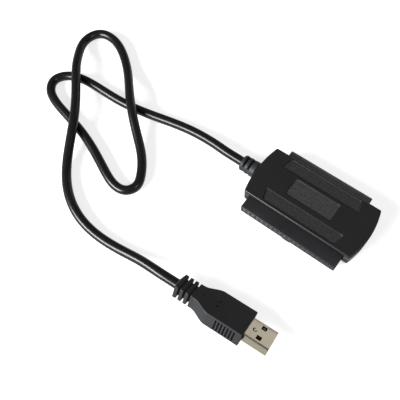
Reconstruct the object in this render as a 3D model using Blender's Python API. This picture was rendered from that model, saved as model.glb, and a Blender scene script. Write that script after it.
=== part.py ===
# Drive adapter: a moulded case with a 40-way and a 44-way drive socket on its long sides and a
# serial drive header in one end, joined by a short cord to a USB plug.
# Metres. Origin in the middle of the case's underside, +X to the header end, -Y to the 40-way
# socket, +Z up. The cord leaves from the -X end.

import math

import bmesh
import bpy
import numpy as np
from mathutils import Matrix, Vector

# General clearances
GAP = 0.0003
FINE_GAP = 0.0001
PAST = 0.0010

# Case
CASE_LENGTH = 0.0574
CASE_WIDTH = 0.0286
CASE_HEIGHT = 0.0096
CABLE_END_BOW = 0.0019
HEADER_END_BOW = 0.0023
CASE_WALL = 0.0015
CASE_ROOF = 0.0015
CASE_CORNER = 0.0010
TOP_EDGE = 0.0005
FOOT_EDGE = 0.0017
BOW_STEPS = 12
CORNER_STEPS = 3
EDGE_STEPS = 3

# Shallow recesses in the top face
RECESS_DEPTH = 0.0005
LABEL_LENGTH = 0.0244
LABEL_WIDTH = 0.0097
LABEL_OFFSET = 0.0005
LABEL_CORNER = 0.0008
PANEL_LENGTH = 0.0420
PANEL_INNER = 0.0067
PANEL_RIM = 0.0013
PANEL_SLANT = 0.0018
PANEL_CORNER = 0.0007

# Circuit board and the posts that clamp it
BOARD_THICKNESS = 0.0015
BOARD_CABLE_MARGIN = 0.0032
POST_RADIUS = 0.0017
PIN_RADIUS = 0.0009
POST_TUBE_WALL = 0.0008
POST_INSET_CABLE = 0.0068
POST_INSET_HEADER = 0.0036
POST_Y = 0.0072
POST_SIDES = 16

# Drive sockets
SOCKET_SEAT = 0.0006
TAIL_LENGTH = 0.0021
TAIL_THICKNESS = 0.0003
WIDE_COLUMNS = 20
WIDE_PITCH = 0.00254
WIDE_END = 0.00167
WIDE_HEIGHT = 0.00508
WIDE_REACH = 0.0070
WIDE_HOLE = 0.0009
WIDE_TAIL = 0.0006
KEY_WIDTH = 0.0043
KEY_HEIGHT = 0.0011
KEY_BACK = 0.0002
SMALL_COLUMNS = 22
SMALL_PITCH = 0.0020
SMALL_END = 0.00145
SMALL_HEIGHT = 0.0040
SMALL_REACH = 0.0042
SMALL_HOLE = 0.0008
SMALL_TAIL = 0.0005
PIN_HOLE_DEPTH = 0.0030

# Serial header in the bowed end
HEADER_WIDTH = 0.0164
HEADER_HEIGHT = 0.0058
HEADER_DEPTH = 0.0086
HEADER_RECESS = 0.0009
HEADER_WALL = 0.0008
HEADER_FLOOR = 0.0016
TONGUE_WIDTH = 0.0104
TONGUE_THICKNESS = 0.0012
TONGUE_SHORT = 0.0006
TONGUE_KEY = 0.0012
SERIAL_CONTACTS = 7
SERIAL_PITCH = 0.00127
SERIAL_CONTACT_WIDTH = 0.0007
CONTACT_THICKNESS = 0.0002
SERIAL_TAIL = 0.0018

# Parts on the board
CHIP_SIDE = 0.0070
CHIP_HEIGHT = 0.0014
CHIP_LEADS = 12
LEAD_PITCH = 0.0005
LEAD_WIDTH = 0.00025
LEAD_REACH = 0.0009
LEAD_THICKNESS = 0.0002
LEAD_RISE = 0.0003
LEAD_ROOT = 0.0002
LEG_SHARE = 0.33

# Legged parts: x, y, length, width, height and legs on each side
LEGGED = {
    "memory_chip": (-0.0105, -0.0035, 0.0050, 0.0039, 0.0014, 4),
    "voltage_regulator": (0.0110, 0.0040, 0.0064, 0.0035, 0.0015, 3),
}

# Parts with an end cap at each end: x, y, length, width and height
CAPPED = {
    "crystal": (-0.0095, 0.0040, 0.0050, 0.0032, 0.0012),
    "tantalum_capacitor_1": (0.0100, -0.0030, 0.0035, 0.0028, 0.0018),
    "tantalum_capacitor_2": (-0.0165, 0.0028, 0.0035, 0.0028, 0.0018),
}
CHIP_CAPACITOR = (0.0016, 0.0011, 0.0008)
CHIP_RESISTOR = (0.0016, 0.0009, 0.0005)
CAP_SHARE = 0.25
CAP_STEP_SHARE = 0.08
PASSIVES = 6
PASSIVE_PITCH = 0.0024
PASSIVE_ROW = 0.0072

# Cord, boot and wires
CORD_DIAMETER = 0.0049
BOOT_LENGTH = 0.0086
BOOT_CASE_RADIUS = 0.0043
BOOT_END_RADIUS = 0.0041
BOOT_ROUND = 0.0009
BOOT_SLOTS = 2
BOOT_SLOT_WIDTH = 0.0011
BOOT_SLOT_CORE = 0.0022
BOOT_SLOT_FIRST = 0.00275
BOOT_SLOT_PITCH = 0.0028
BOOT_NECK_RADIUS = 0.0027
BOOT_FLANGE_THICKNESS = 0.0014
BOOT_FLANGE_WIDTH = 0.0090
BOOT_SIDES = 20
WIRE_DIAMETER = 0.0010
WIRE_PITCH = 0.0017
WIRE_REACH = 0.0046
WIRE_ARCH = 0.0002
WIRE_PATH = ((0.0, 0.80, 0.0), (0.3, 0.85, 1.0), (0.6, 0.95, 0.5), (1.0, 1.0, 0.0))

# Plug
PLUG_FRONT_X = 0.00965
PLUG_FRONT_Y = -0.06632
PLUG_REST_GAP = 0.00003
PLUG_YAW = math.radians(3.85)
PLUG_ROLL = math.radians(-34.8)
GRIP_WIDTH = 0.0170
GRIP_THICKNESS = 0.0074
GRIP_LENGTH = 0.0276
GRIP_STRAIGHT = 0.0168
GRIP_NECK = 0.0016
GRIP_NECK_WIDTH = 0.01005
GRIP_NECK_THICKNESS = 0.0070
GRIP_CORNER = 0.0006
FLARE_STEPS = 8
RIDGE_COUNT = 7
RIDGE_PITCH = 0.00152
RIDGE_WIDTH = 0.0007
RIDGE_DEPTH = 0.0005
RIDGE_FRONT = 0.0030
RIDGE_TOP = 0.0010
RELIEF_RINGS = 3
RELIEF_GAP = 0.00105
RELIEF_RING = 0.00165
RELIEF_CORE = 0.0066
RELIEF_CONE = 0.00095
RELIEF_CONE_END = 0.0054
RELIEF_CONE_CORNER = 0.0020
SHELL_WIDTH = 0.0120
SHELL_HEIGHT = 0.0045
SHELL_REACH = 0.0120
SHELL_SEAT = 0.0070
SHELL_WALL = 0.0003
SHELL_CORNER = 0.0006
LATCH_HOLE = 0.0024
LATCH_X = 0.0061
LATCH_Y = 0.0032
INSERT_THICKNESS = 0.0019
INSERT_SHORT = 0.0008
PLUG_CONTACTS = 4
PLUG_CONTACT_WIDTH = 0.0010
PLUG_CONTACT_OUTER = 0.0035
PLUG_CONTACT_INNER = 0.0010
PLUG_CONTACT_STEP = 0.0010

# Route of the cord, from the boot to the plug's relief, in millimetres
CORD_ROUTE = (
    (-56.5, 0.45, 4.45), (-63.5, 0.72, 3.80), (-70.7, 0.54, 3.20), (-85.8, -1.7, 2.62),
    (-103.0, -5.3, 2.62), (-118.3, -6.9, 2.62), (-137.1, -7.2, 2.62), (-147.7, -9.2, 2.62),
    (-152.2, -12.0, 2.62), (-155.0, -17.5, 2.62), (-152.3, -23.1, 2.62), (-146.0, -26.8, 2.62),
    (-135.3, -29.7, 2.62), (-120.5, -33.2, 2.62), (-104.1, -39.2, 2.62), (-92.1, -44.6, 2.62),
    (-84.6, -46.8, 2.62), (-78.3, -45.5, 2.62), (-75.7, -40.8, 2.62), (-77.6, -34.9, 2.62),
    (-83.7, -26.8, 2.85), (-94.4, -17.6, 4.80), (-105.6, -7.9, 7.75), (-115.1, 1.3, 5.95),
    (-126.2, 11.8, 2.85), (-137.8, 20.1, 2.62), (-148.2, 23.4, 2.62), (-155.6, 21.7, 2.62),
    (-158.8, 14.9, 2.98), (-154.7, 3.9, 4.95), (-145.8, -7.2, 7.85), (-137.3, -17.0, 7.00),
    (-125.3, -31.4, 7.85), (-117.8, -44.3, 4.95), (-109.9, -55.9, 2.62), (-100.0, -64.5, 2.62),
    (-87.1, -70.3, 2.62), (-71.8, -72.0, 2.62), (-58.6, -70.9, 3.35), (-47.7, -69.8, 5.60),
)
CORD_SPAN = 0.0070
CURVE_STEPS = 24

# Values that follow from those above
MID = CASE_HEIGHT / 2
SIDE = CASE_WIDTH / 2
INSIDE = SIDE - CASE_WALL
CABLE_END = -CASE_LENGTH / 2 - CABLE_END_BOW
HEADER_END = CASE_LENGTH / 2 + HEADER_END_BOW
ROOF_UNDERSIDE = CASE_HEIGHT - CASE_ROOF
BOARD_TOP = MID + BOARD_THICKNESS / 2
BOARD_BOTTOM = MID - BOARD_THICKNESS / 2
SOCKET_REAR = INSIDE - SOCKET_SEAT
HEADER_FACE = HEADER_END - HEADER_RECESS
HEADER_REAR = HEADER_FACE - HEADER_DEPTH
BOARD_CABLE_EDGE = CABLE_END + CASE_WALL + BOARD_CABLE_MARGIN
BOARD_HEADER_EDGE = HEADER_REAR - GAP
TAIL_OFFSET = BOARD_THICKNESS / 2 + GAP
WIDE_LENGTH = (WIDE_COLUMNS - 1) * WIDE_PITCH + 2 * WIDE_END
SMALL_LENGTH = (SMALL_COLUMNS - 1) * SMALL_PITCH + 2 * SMALL_END
CONTACT_BASE = MID + TAIL_OFFSET
BOOT_TIP = CABLE_END - GAP - BOOT_LENGTH
BOOT_FLANGE_HEIGHT = ROOF_UNDERSIDE - CASE_ROOF - 2 * GAP
BOOT_FLANGE_FACE = CABLE_END + CASE_WALL + GAP + BOOT_FLANGE_THICKNESS
PLUG_FRONT_Z = PLUG_REST_GAP + (
    (GRIP_WIDTH / 2 - GRIP_CORNER) * math.sin(-PLUG_ROLL)
    + (GRIP_THICKNESS / 2 - GRIP_CORNER) * math.cos(PLUG_ROLL) + GRIP_CORNER
)
RELIEF_LENGTH = RELIEF_RINGS * (RELIEF_GAP + RELIEF_RING) + RELIEF_CONE
POSTS = [
    (x, y)
    for x in (CABLE_END + POST_INSET_CABLE, HEADER_REAR - POST_INSET_HEADER)
    for y in (-POST_Y, POST_Y)
]


def clear_scene():
    for item in list(bpy.data.objects):
        bpy.data.objects.remove(item, do_unlink=True)


def material(name, colour, roughness, metallic=0.0):
    finish = bpy.data.materials.new(name)
    finish.use_nodes = True
    shader = finish.node_tree.nodes["Principled BSDF"]
    shader.inputs["Base Color"].default_value = (*colour, 1.0)
    shader.inputs["Roughness"].default_value = roughness
    shader.inputs["Metallic"].default_value = metallic
    finish.diffuse_color = (*colour, 1.0)
    return finish


def add_object(name, bm, finish):
    bmesh.ops.recalc_face_normals(bm, faces=bm.faces)
    mesh = bpy.data.meshes.new(name)
    bm.to_mesh(mesh)
    bm.free()
    item = bpy.data.objects.new(name, mesh)
    bpy.context.scene.collection.objects.link(item)
    if finish is not None:
        mesh.materials.append(finish)
    return item


def add_cutter(name, bm):
    item = add_object(name, bm, None)
    item.hide_render = True
    item.display_type = "WIRE"
    return item


def combine(item, tool, operation):
    step = item.modifiers.new(tool.name, "BOOLEAN")
    step.operation = operation
    step.object = tool
    step.solver = "EXACT"


def smooth(item, degrees=35):
    item.data.shade_smooth()
    item.data.set_sharp_from_angle(angle=math.radians(degrees))


def box_into(bm, low, high):
    size = Vector(high) - Vector(low)
    middle = (Vector(high) + Vector(low)) / 2
    place = Matrix.Translation(middle) @ Matrix.Diagonal((*size, 1.0))
    bmesh.ops.create_cube(bm, size=1.0, matrix=place)


def boxes(pairs):
    bm = bmesh.new()
    for low, high in pairs:
        box_into(bm, low, high)
    return bm


def loft(sections):
    # Closed solid through rings of points that all have the same count
    bm = bmesh.new()
    rings = [[bm.verts.new(point) for point in section] for section in sections]
    for lower, upper in zip(rings, rings[1:]):
        for i in range(len(lower)):
            j = (i + 1) % len(lower)
            bm.faces.new((lower[i], lower[j], upper[j], upper[i]))
    bm.faces.new(list(reversed(rings[0])))
    bm.faces.new(rings[-1])
    return bm


def filleted(points, radius, steps):
    # Outline with each corner sharper than 30 degrees replaced by a tangent arc
    result = []
    count = len(points)
    for i, here in enumerate(points):
        before = Vector(points[i - 1]) - Vector(here)
        after = Vector(points[(i + 1) % count]) - Vector(here)
        turn = math.pi - before.angle(after)
        if turn < math.radians(30):
            result.append(tuple(here))
            continue
        reach = radius * math.tan(turn / 2)
        start = Vector(here) + before.normalized() * reach
        end = Vector(here) + after.normalized() * reach
        inward = (before.normalized() + after.normalized()).normalized()
        centre = Vector(here) + inward * radius / math.cos(turn / 2)
        first = start - centre
        swing = first.angle_signed(end - centre)
        for k in range(steps + 1):
            angle = -swing * k / steps
            arm = Matrix.Rotation(angle, 2) @ first
            result.append(tuple(centre + arm))
    return result


def bowed_end(half_width, reach, bow, inset, sign):
    # Points of one end's arc, from the near side to the far side
    radius = (half_width ** 2 + bow ** 2) / (2 * bow)
    centre = reach + bow - radius
    radius -= inset
    limit = math.asin((half_width - inset) / radius)
    points = []
    for k in range(BOW_STEPS + 1):
        angle = -limit + 2 * limit * k / BOW_STEPS
        points.append((sign * (centre + radius * math.cos(angle)), sign * radius * math.sin(angle)))
    return points


def case_outline(inset):
    header_end = bowed_end(SIDE, CASE_LENGTH / 2, HEADER_END_BOW, inset, 1)
    cable_end = bowed_end(SIDE, CASE_LENGTH / 2, CABLE_END_BOW, inset, -1)
    corner = max(CASE_CORNER - inset, CASE_CORNER / 4)
    return filleted(header_end + cable_end, corner, CORNER_STEPS)


def case_solid(levels):
    return loft([[(x, y, z) for x, y in case_outline(inset)] for z, inset in levels])


def edge_levels(base, radius, upward):
    # Heights and insets of a rounded edge, from its flat face to the upright wall
    levels = []
    for k in range(EDGE_STEPS + 1):
        angle = math.pi / 2 * k / EDGE_STEPS
        rise = radius * (1 - math.cos(angle))
        inset = radius * (1 - math.sin(angle))
        levels.append((base + rise if upward else base - rise, inset))
    return levels


def cylinder_into(bm, x, y, low, high, radius, sides):
    place = Matrix.Translation((x, y, (low + high) / 2))
    bmesh.ops.create_cone(
        bm, cap_ends=True, segments=sides, radius1=radius, radius2=radius, depth=high - low, matrix=place
    )


def cylinders(places, low, high, radius, sides):
    bm = bmesh.new()
    for x, y in places:
        cylinder_into(bm, x, y, low, high, radius, sides)
    return bm


def case_openings():
    # One cutter for everything that passes through the walls of both shells
    wide = WIDE_LENGTH / 2 + GAP
    small = SMALL_LENGTH / 2 + GAP
    wide_z = WIDE_HEIGHT / 2 + GAP
    small_z = SMALL_HEIGHT / 2 + GAP
    header_y = HEADER_WIDTH / 2 + GAP
    header_z = HEADER_HEIGHT / 2 + GAP
    bm = boxes(
        (
            ((-wide, -SIDE - PAST, MID - wide_z), (wide, -SOCKET_REAR, MID + wide_z)),
            ((-small, SOCKET_REAR, MID - small_z), (small, SIDE + PAST, MID + small_z)),
            ((HEADER_REAR, -header_y, MID - header_z), (HEADER_END + PAST, header_y, MID + header_z)),
        )
    )
    turn = Matrix.Translation((CABLE_END + CASE_WALL / 2, 0, MID)) @ Matrix.Rotation(math.pi / 2, 4, "Y")
    radius = BOOT_NECK_RADIUS + GAP
    bmesh.ops.create_cone(
        bm, cap_ends=True, segments=BOOT_SIDES, radius1=radius, radius2=radius,
        depth=CASE_WALL + 2 * PAST, matrix=turn,
    )
    return add_cutter("cut_openings", bm)


def panel_outline(sign):
    inner = sign * PANEL_INNER
    outer = sign * (SIDE - PANEL_RIM)
    half = PANEL_LENGTH / 2
    points = [(-half, inner), (half, inner), (half - PANEL_SLANT, outer), (-half + PANEL_SLANT, outer)]
    if sign < 0:
        points.reverse()
    return filleted(points, PANEL_CORNER, CORNER_STEPS)


def recess_cutter(name, outline):
    low = CASE_HEIGHT - RECESS_DEPTH
    high = CASE_HEIGHT + PAST
    return add_cutter(name, loft([[(x, y, z) for x, y in outline] for z in (low, high)]))


def label_outline():
    x = LABEL_LENGTH / 2
    low = LABEL_OFFSET - LABEL_WIDTH / 2
    high = LABEL_OFFSET + LABEL_WIDTH / 2
    return filleted([(-x, low), (x, low), (x, high), (-x, high)], LABEL_CORNER, CORNER_STEPS)


def make_case(finish, openings):
    top = add_object("top_shell", case_solid(
        [(MID + GAP / 2, 0.0)] + list(reversed(edge_levels(CASE_HEIGHT, TOP_EDGE, False)))
    ), finish)
    hollow = add_cutter("cut_top_hollow", case_solid([(0.0, CASE_WALL), (ROOF_UNDERSIDE, CASE_WALL)]))
    combine(top, hollow, "DIFFERENCE")
    combine(top, openings, "DIFFERENCE")
    combine(top, recess_cutter("cut_label", label_outline()), "DIFFERENCE")
    for side, sign in (("near", -1), ("far", 1)):
        combine(top, recess_cutter("cut_panel_" + side, panel_outline(sign)), "DIFFERENCE")
    tube = PIN_RADIUS + GAP + POST_TUBE_WALL
    tubes = add_cutter("post_tubes", cylinders(
        POSTS, BOARD_TOP + GAP, ROOF_UNDERSIDE + CASE_ROOF / 3, tube, POST_SIDES
    ))
    combine(top, tubes, "UNION")
    bores = add_cutter("cut_post_bores", cylinders(
        POSTS, BOARD_TOP, ROOF_UNDERSIDE, PIN_RADIUS + GAP, POST_SIDES
    ))
    combine(top, bores, "DIFFERENCE")
    smooth(top)

    bottom = add_object("bottom_shell", case_solid(
        edge_levels(0.0, FOOT_EDGE, True) + [(MID - GAP / 2, 0.0)]
    ), finish)
    hollow = add_cutter("cut_bottom_hollow", case_solid([(CASE_ROOF, CASE_WALL), (CASE_HEIGHT, CASE_WALL)]))
    combine(bottom, hollow, "DIFFERENCE")
    combine(bottom, openings, "DIFFERENCE")
    bosses = add_cutter("post_bosses", cylinders(
        POSTS, CASE_ROOF / 2, BOARD_BOTTOM - GAP, POST_RADIUS, POST_SIDES
    ))
    combine(bottom, bosses, "UNION")
    pins = add_cutter("post_pins", cylinders(
        POSTS, CASE_ROOF * 2 / 3, ROOF_UNDERSIDE - GAP, PIN_RADIUS, POST_SIDES
    ))
    combine(bottom, pins, "UNION")
    smooth(bottom)


def make_board(finish):
    edge = SOCKET_REAR - GAP
    board = add_object("circuit_board", boxes(
        [((BOARD_CABLE_EDGE, -edge, BOARD_BOTTOM), (BOARD_HEADER_EDGE, edge, BOARD_TOP))]
    ), finish)
    holes = add_cutter("cut_board_holes", cylinders(
        POSTS, BOARD_BOTTOM - PAST, BOARD_TOP + PAST, PIN_RADIUS + GAP, POST_SIDES
    ))
    combine(board, holes, "DIFFERENCE")


def make_socket(name, sign, columns, pitch, length, height, reach, hole, tail, finish):
    # Pins plug in at the outer face, and two rows of tails straddle the board behind
    face = sign * (SIDE + reach)
    rear = sign * SOCKET_REAR
    low, high = sorted((face, rear))
    socket = add_object(name, boxes(
        [((-length / 2, low, MID - height / 2), (length / 2, high, MID + height / 2))]
    ), finish)
    holes = []
    tails = []
    for column in range(columns):
        x = (column - (columns - 1) / 2) * pitch
        for row in (-1, 1):
            z = MID + row * pitch / 2
            deep = sorted((face + sign * PAST, face - sign * PIN_HOLE_DEPTH))
            holes.append(((x - hole / 2, deep[0], z - hole / 2), (x + hole / 2, deep[1], z + hole / 2)))
            span = sorted((rear + sign * PAST / 2, rear - sign * TAIL_LENGTH))
            level = sorted((MID + row * TAIL_OFFSET, MID + row * (TAIL_OFFSET + TAIL_THICKNESS)))
            tails.append(((x - tail / 2, span[0], level[0]), (x + tail / 2, span[1], level[1])))
    combine(socket, add_cutter("cut_holes_" + name, boxes(holes)), "DIFFERENCE")
    combine(socket, add_cutter("tails_" + name, boxes(tails)), "UNION")
    return socket


def make_sockets(finish):
    wide = make_socket(
        "ide_socket_40", -1, WIDE_COLUMNS, WIDE_PITCH, WIDE_LENGTH, WIDE_HEIGHT, WIDE_REACH,
        WIDE_HOLE, WIDE_TAIL, finish,
    )
    underside = MID - WIDE_HEIGHT / 2
    key = add_cutter("socket_key", boxes([(
        (-KEY_WIDTH / 2, -SIDE - WIDE_REACH + KEY_BACK, underside - KEY_HEIGHT),
        (KEY_WIDTH / 2, -SIDE - GAP, underside + KEY_HEIGHT / 2),
    )]))
    combine(wide, key, "UNION")
    make_socket(
        "ide_socket_44", 1, SMALL_COLUMNS, SMALL_PITCH, SMALL_LENGTH, SMALL_HEIGHT, SMALL_REACH,
        SMALL_HOLE, SMALL_TAIL, finish,
    )


def make_header(plastic, gold):
    half_y = HEADER_WIDTH / 2
    half_z = HEADER_HEIGHT / 2
    header = add_object("sata_header", boxes(
        [((HEADER_REAR, -half_y, MID - half_z), (HEADER_FACE, half_y, MID + half_z))]
    ), plastic)
    cavity_floor = HEADER_REAR + HEADER_FLOOR
    cavity = add_cutter("cut_header_cavity", boxes([(
        (cavity_floor, -half_y + HEADER_WALL, MID - half_z + HEADER_WALL),
        (HEADER_FACE + PAST, half_y - HEADER_WALL, MID + half_z - HEADER_WALL),
    )]))
    combine(header, cavity, "DIFFERENCE")
    top = CONTACT_BASE - FINE_GAP
    tip = HEADER_FACE - TONGUE_SHORT
    blade = add_cutter("header_tongue", boxes([(
        (cavity_floor - HEADER_FLOOR / 2, -TONGUE_WIDTH / 2, top - TONGUE_THICKNESS),
        (tip, TONGUE_WIDTH / 2, top),
    )]))
    combine(header, blade, "UNION")
    leg = add_cutter("header_tongue_key", boxes([(
        (cavity_floor - HEADER_FLOOR / 2, TONGUE_WIDTH / 2 - TONGUE_THICKNESS,
         top - TONGUE_THICKNESS - TONGUE_KEY),
        (tip, TONGUE_WIDTH / 2, top - TONGUE_THICKNESS / 2),
    )]))
    combine(header, leg, "UNION")
    slots = []
    spans = []
    for i in range(SERIAL_CONTACTS):
        y = (i - (SERIAL_CONTACTS - 1) / 2) * SERIAL_PITCH
        half = SERIAL_CONTACT_WIDTH / 2
        slots.append((
            (HEADER_REAR - PAST, y - half - FINE_GAP, CONTACT_BASE - FINE_GAP),
            (cavity_floor + FINE_GAP, y + half + FINE_GAP, CONTACT_BASE + CONTACT_THICKNESS + FINE_GAP),
        ))
        spans.append((
            (HEADER_REAR - SERIAL_TAIL, y - half, CONTACT_BASE),
            (tip - 2 * GAP, y + half, CONTACT_BASE + CONTACT_THICKNESS),
        ))
    combine(header, add_cutter("cut_contact_slots", boxes(slots)), "DIFFERENCE")
    for i, span in enumerate(spans):
        add_object(f"sata_contact_{i + 1}", boxes([span]), gold)


def lead_comb(half, base):
    # Flat comb of leads around a square chip, one outline with a tooth for each lead
    outline = []
    for quarter in range(4):
        turn = Matrix.Rotation(math.radians(90 * quarter), 2)
        for i in range(CHIP_LEADS):
            middle = (i - (CHIP_LEADS - 1) / 2) * LEAD_PITCH
            left = middle - LEAD_WIDTH / 2
            right = middle + LEAD_WIDTH / 2
            for u, v in ((left, 0), (left, LEAD_REACH), (right, LEAD_REACH), (right, 0)):
                outline.append(tuple(turn @ Vector((u, -half - v))))
    return [[(x, y, z) for x, y in outline] for z in (base, base + LEAD_THICKNESS)]


def make_controller(finish):
    half = CHIP_SIDE / 2
    base = BOARD_TOP + FINE_GAP
    chip = add_object("controller_chip", boxes(
        [((-half, -half, base), (half, half, base + CHIP_HEIGHT))]
    ), finish)
    leads = add_cutter("controller_leads", loft(lead_comb(half - LEAD_ROOT, base + LEAD_RISE)))
    combine(chip, leads, "UNION")


def make_legged(name, x, y, length, width, height, legs, finish):
    # Body with a row of flat legs along each long side
    base = BOARD_TOP + FINE_GAP
    chip = add_object(name, boxes(
        [((x - length / 2, y - width / 2, base), (x + length / 2, y + width / 2, base + height))]
    ), finish)
    pitch = length / legs
    strips = []
    for i in range(legs):
        middle = x + (i - (legs - 1) / 2) * pitch
        strips.append((
            (middle - pitch * LEG_SHARE / 2, y - width / 2 - LEAD_REACH, base + LEAD_RISE),
            (middle + pitch * LEG_SHARE / 2, y + width / 2 + LEAD_REACH, base + LEAD_RISE + LEAD_THICKNESS),
        ))
    combine(chip, add_cutter("legs_" + name, boxes(strips)), "UNION")


def make_capped(name, x, y, length, width, height, finish):
    # Chip part whose metal end caps stand slightly proud of its middle
    base = BOARD_TOP + FINE_GAP
    end = length / 2
    cap = end - length * CAP_SHARE
    sink = height * CAP_STEP_SHARE
    profile = [
        (-end, 0), (-cap, 0), (-cap, sink), (cap, sink), (cap, 0), (end, 0),
        (end, height), (cap, height), (cap, height - sink),
        (-cap, height - sink), (-cap, height), (-end, height),
    ]
    sides = [[(x + u, y + side * width / 2, base + v) for u, v in profile] for side in (-1, 1)]
    add_object(name, loft(sides), finish)


def make_electronics(chip, ceramic, resistor, tantalum, can):
    make_controller(chip)
    for name, sizes in LEGGED.items():
        make_legged(name, *sizes, chip)
    for name, sizes in CAPPED.items():
        make_capped(name, *sizes, can if name == "crystal" else tantalum)
    for i in range(PASSIVES):
        x = (i - (PASSIVES - 1) / 2) * PASSIVE_PITCH
        make_capped(f"capacitor_{i + 1}", x, PASSIVE_ROW, *CHIP_CAPACITOR, ceramic)
        make_capped(f"resistor_{i + 1}", x, -PASSIVE_ROW, *CHIP_RESISTOR, resistor)


def make_boot(finish):
    # Turned along X: neck through the wall, collar against it, then a ribbed taper
    def ring(x, radius):
        angles = [2 * math.pi * k / BOOT_SIDES for k in range(BOOT_SIDES)]
        return [(x, radius * math.cos(angle), MID + radius * math.sin(angle)) for angle in angles]

    outer = CABLE_END - GAP
    taper = [(outer, BOOT_CASE_RADIUS)]
    for k in range(EDGE_STEPS + 1):
        angle = math.pi / 2 * k / EDGE_STEPS
        x = BOOT_TIP + BOOT_ROUND * (1 - math.sin(angle))
        taper.append((x, BOOT_END_RADIUS - BOOT_ROUND * (1 - math.cos(angle))))
    profile = [(BOOT_FLANGE_FACE - BOOT_FLANGE_THICKNESS / 2, BOOT_NECK_RADIUS), (outer, BOOT_NECK_RADIUS)]
    boot = add_object("cord_boot", loft([ring(x, radius) for x, radius in profile + taper]), finish)
    flange = add_cutter("boot_flange", boxes([(
        (BOOT_FLANGE_FACE - BOOT_FLANGE_THICKNESS, -BOOT_FLANGE_WIDTH / 2, MID - BOOT_FLANGE_HEIGHT / 2),
        (BOOT_FLANGE_FACE, BOOT_FLANGE_WIDTH / 2, MID + BOOT_FLANGE_HEIGHT / 2),
    )]))
    combine(boot, flange, "UNION")
    slots = []
    reach = BOOT_CASE_RADIUS + PAST
    for i in range(BOOT_SLOTS):
        x = outer - BOOT_SLOT_FIRST - i * BOOT_SLOT_PITCH
        for low, high in ((BOOT_SLOT_CORE, reach), (-reach, -BOOT_SLOT_CORE)):
            slots.append(((x - BOOT_SLOT_WIDTH, -reach, MID + low), (x, reach, MID + high)))
    combine(boot, add_cutter("cut_boot_slots", boxes(slots)), "DIFFERENCE")
    smooth(boot)


def smooth_curve(points, first, last, spacing):
    # Cubic with continuous curvature through the points, its end directions given,
    # then read at even steps of its length
    knots = np.array(points)
    chord = np.linalg.norm(np.diff(knots, axis=0), axis=1)
    count = len(knots)
    system = np.zeros((count, count))
    right = np.zeros((count, 3))
    system[0, 0] = system[-1, -1] = 1.0
    right[0] = first
    right[-1] = last
    slope = np.diff(knots, axis=0) / chord[:, None]
    for i in range(1, count - 1):
        system[i, i - 1:i + 2] = chord[i], 2 * (chord[i] + chord[i - 1]), chord[i - 1]
        right[i] = 3 * (chord[i] * slope[i - 1] + chord[i - 1] * slope[i])
    tangent = np.linalg.solve(system, right)
    pieces = []
    for i in range(count - 1):
        u = np.linspace(0.0, 1.0, CURVE_STEPS, endpoint=False)[:, None]
        pieces.append(
            (2 * u ** 3 - 3 * u ** 2 + 1) * knots[i] + (u ** 3 - 2 * u ** 2 + u) * chord[i] * tangent[i]
            + (3 * u ** 2 - 2 * u ** 3) * knots[i + 1] + (u ** 3 - u ** 2) * chord[i] * tangent[i + 1]
        )
    fine = np.vstack(pieces + [knots[-1:]])
    run = np.concatenate(([0.0], np.cumsum(np.linalg.norm(np.diff(fine, axis=0), axis=1))))
    steps = max(1, round(run[-1] / spacing))
    even = np.linspace(0.0, run[-1], steps + 1)
    return [tuple(np.interp(even, run, fine[:, axis])[k] for axis in range(3)) for k in range(steps + 1)]


def make_tube(name, points, diameter, resolution, finish):
    path = bpy.data.curves.new(name, "CURVE")
    path.dimensions = "3D"
    path.bevel_depth = diameter / 2
    path.bevel_resolution = resolution
    path.use_fill_caps = True
    path.twist_mode = "Z_UP"
    line = path.splines.new("POLY")
    line.points.add(len(points) - 1)
    for target, point in zip(line.points, points):
        target.co = (*point, 1.0)
    path.materials.append(finish)
    item = bpy.data.objects.new(name, path)
    bpy.context.scene.collection.objects.link(item)
    return item


def make_wires(finishes):
    level = BOARD_TOP + FINE_GAP + WIRE_DIAMETER / 2
    start = BOOT_FLANGE_FACE + GAP
    for i, (colour, finish) in enumerate(finishes):
        y = (i - (len(finishes) - 1) / 2) * WIRE_PITCH
        points = [
            (start + WIRE_REACH * share, y * spread, level + WIRE_ARCH * lift)
            for share, spread, lift in WIRE_PATH
        ]
        make_tube("wire_" + colour, points, WIRE_DIAMETER, 2, finish)


def plug_place():
    turn = Matrix.Rotation(PLUG_YAW, 4, "Z") @ Matrix.Rotation(PLUG_ROLL, 4, "X")
    return Matrix.Translation((PLUG_FRONT_X, PLUG_FRONT_Y, PLUG_FRONT_Z)) @ turn


def make_cord(finish):
    place = plug_place()
    start = Vector((BOOT_TIP - GAP, 0.0, MID))
    end = place @ Vector((-GRIP_LENGTH - RELIEF_LENGTH - GAP, 0.0, 0.0))
    along = place.to_3x3() @ Vector((1.0, 0.0, 0.0))
    inner = [tuple(value / 1000 for value in point) for point in CORD_ROUTE]
    lead_out = tuple(start + Vector((-2 * CORD_DIAMETER, 0.0, 0.0)))
    lead_in = tuple(end - along * 2 * CORD_DIAMETER)
    route = [tuple(start), lead_out] + inner + [lead_in, tuple(end)]
    points = smooth_curve(route, (-1.0, 0.0, 0.0), tuple(along), CORD_SPAN)
    make_tube("usb_cord", points, CORD_DIAMETER, 2, finish)


def plug_section(x, width, thickness, corner):
    half_y = width / 2
    half_z = thickness / 2
    corners = [(-half_y, -half_z), (half_y, -half_z), (half_y, half_z), (-half_y, half_z)]
    return [(x, y, z) for y, z in filleted(corners, corner, CORNER_STEPS)]


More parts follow.
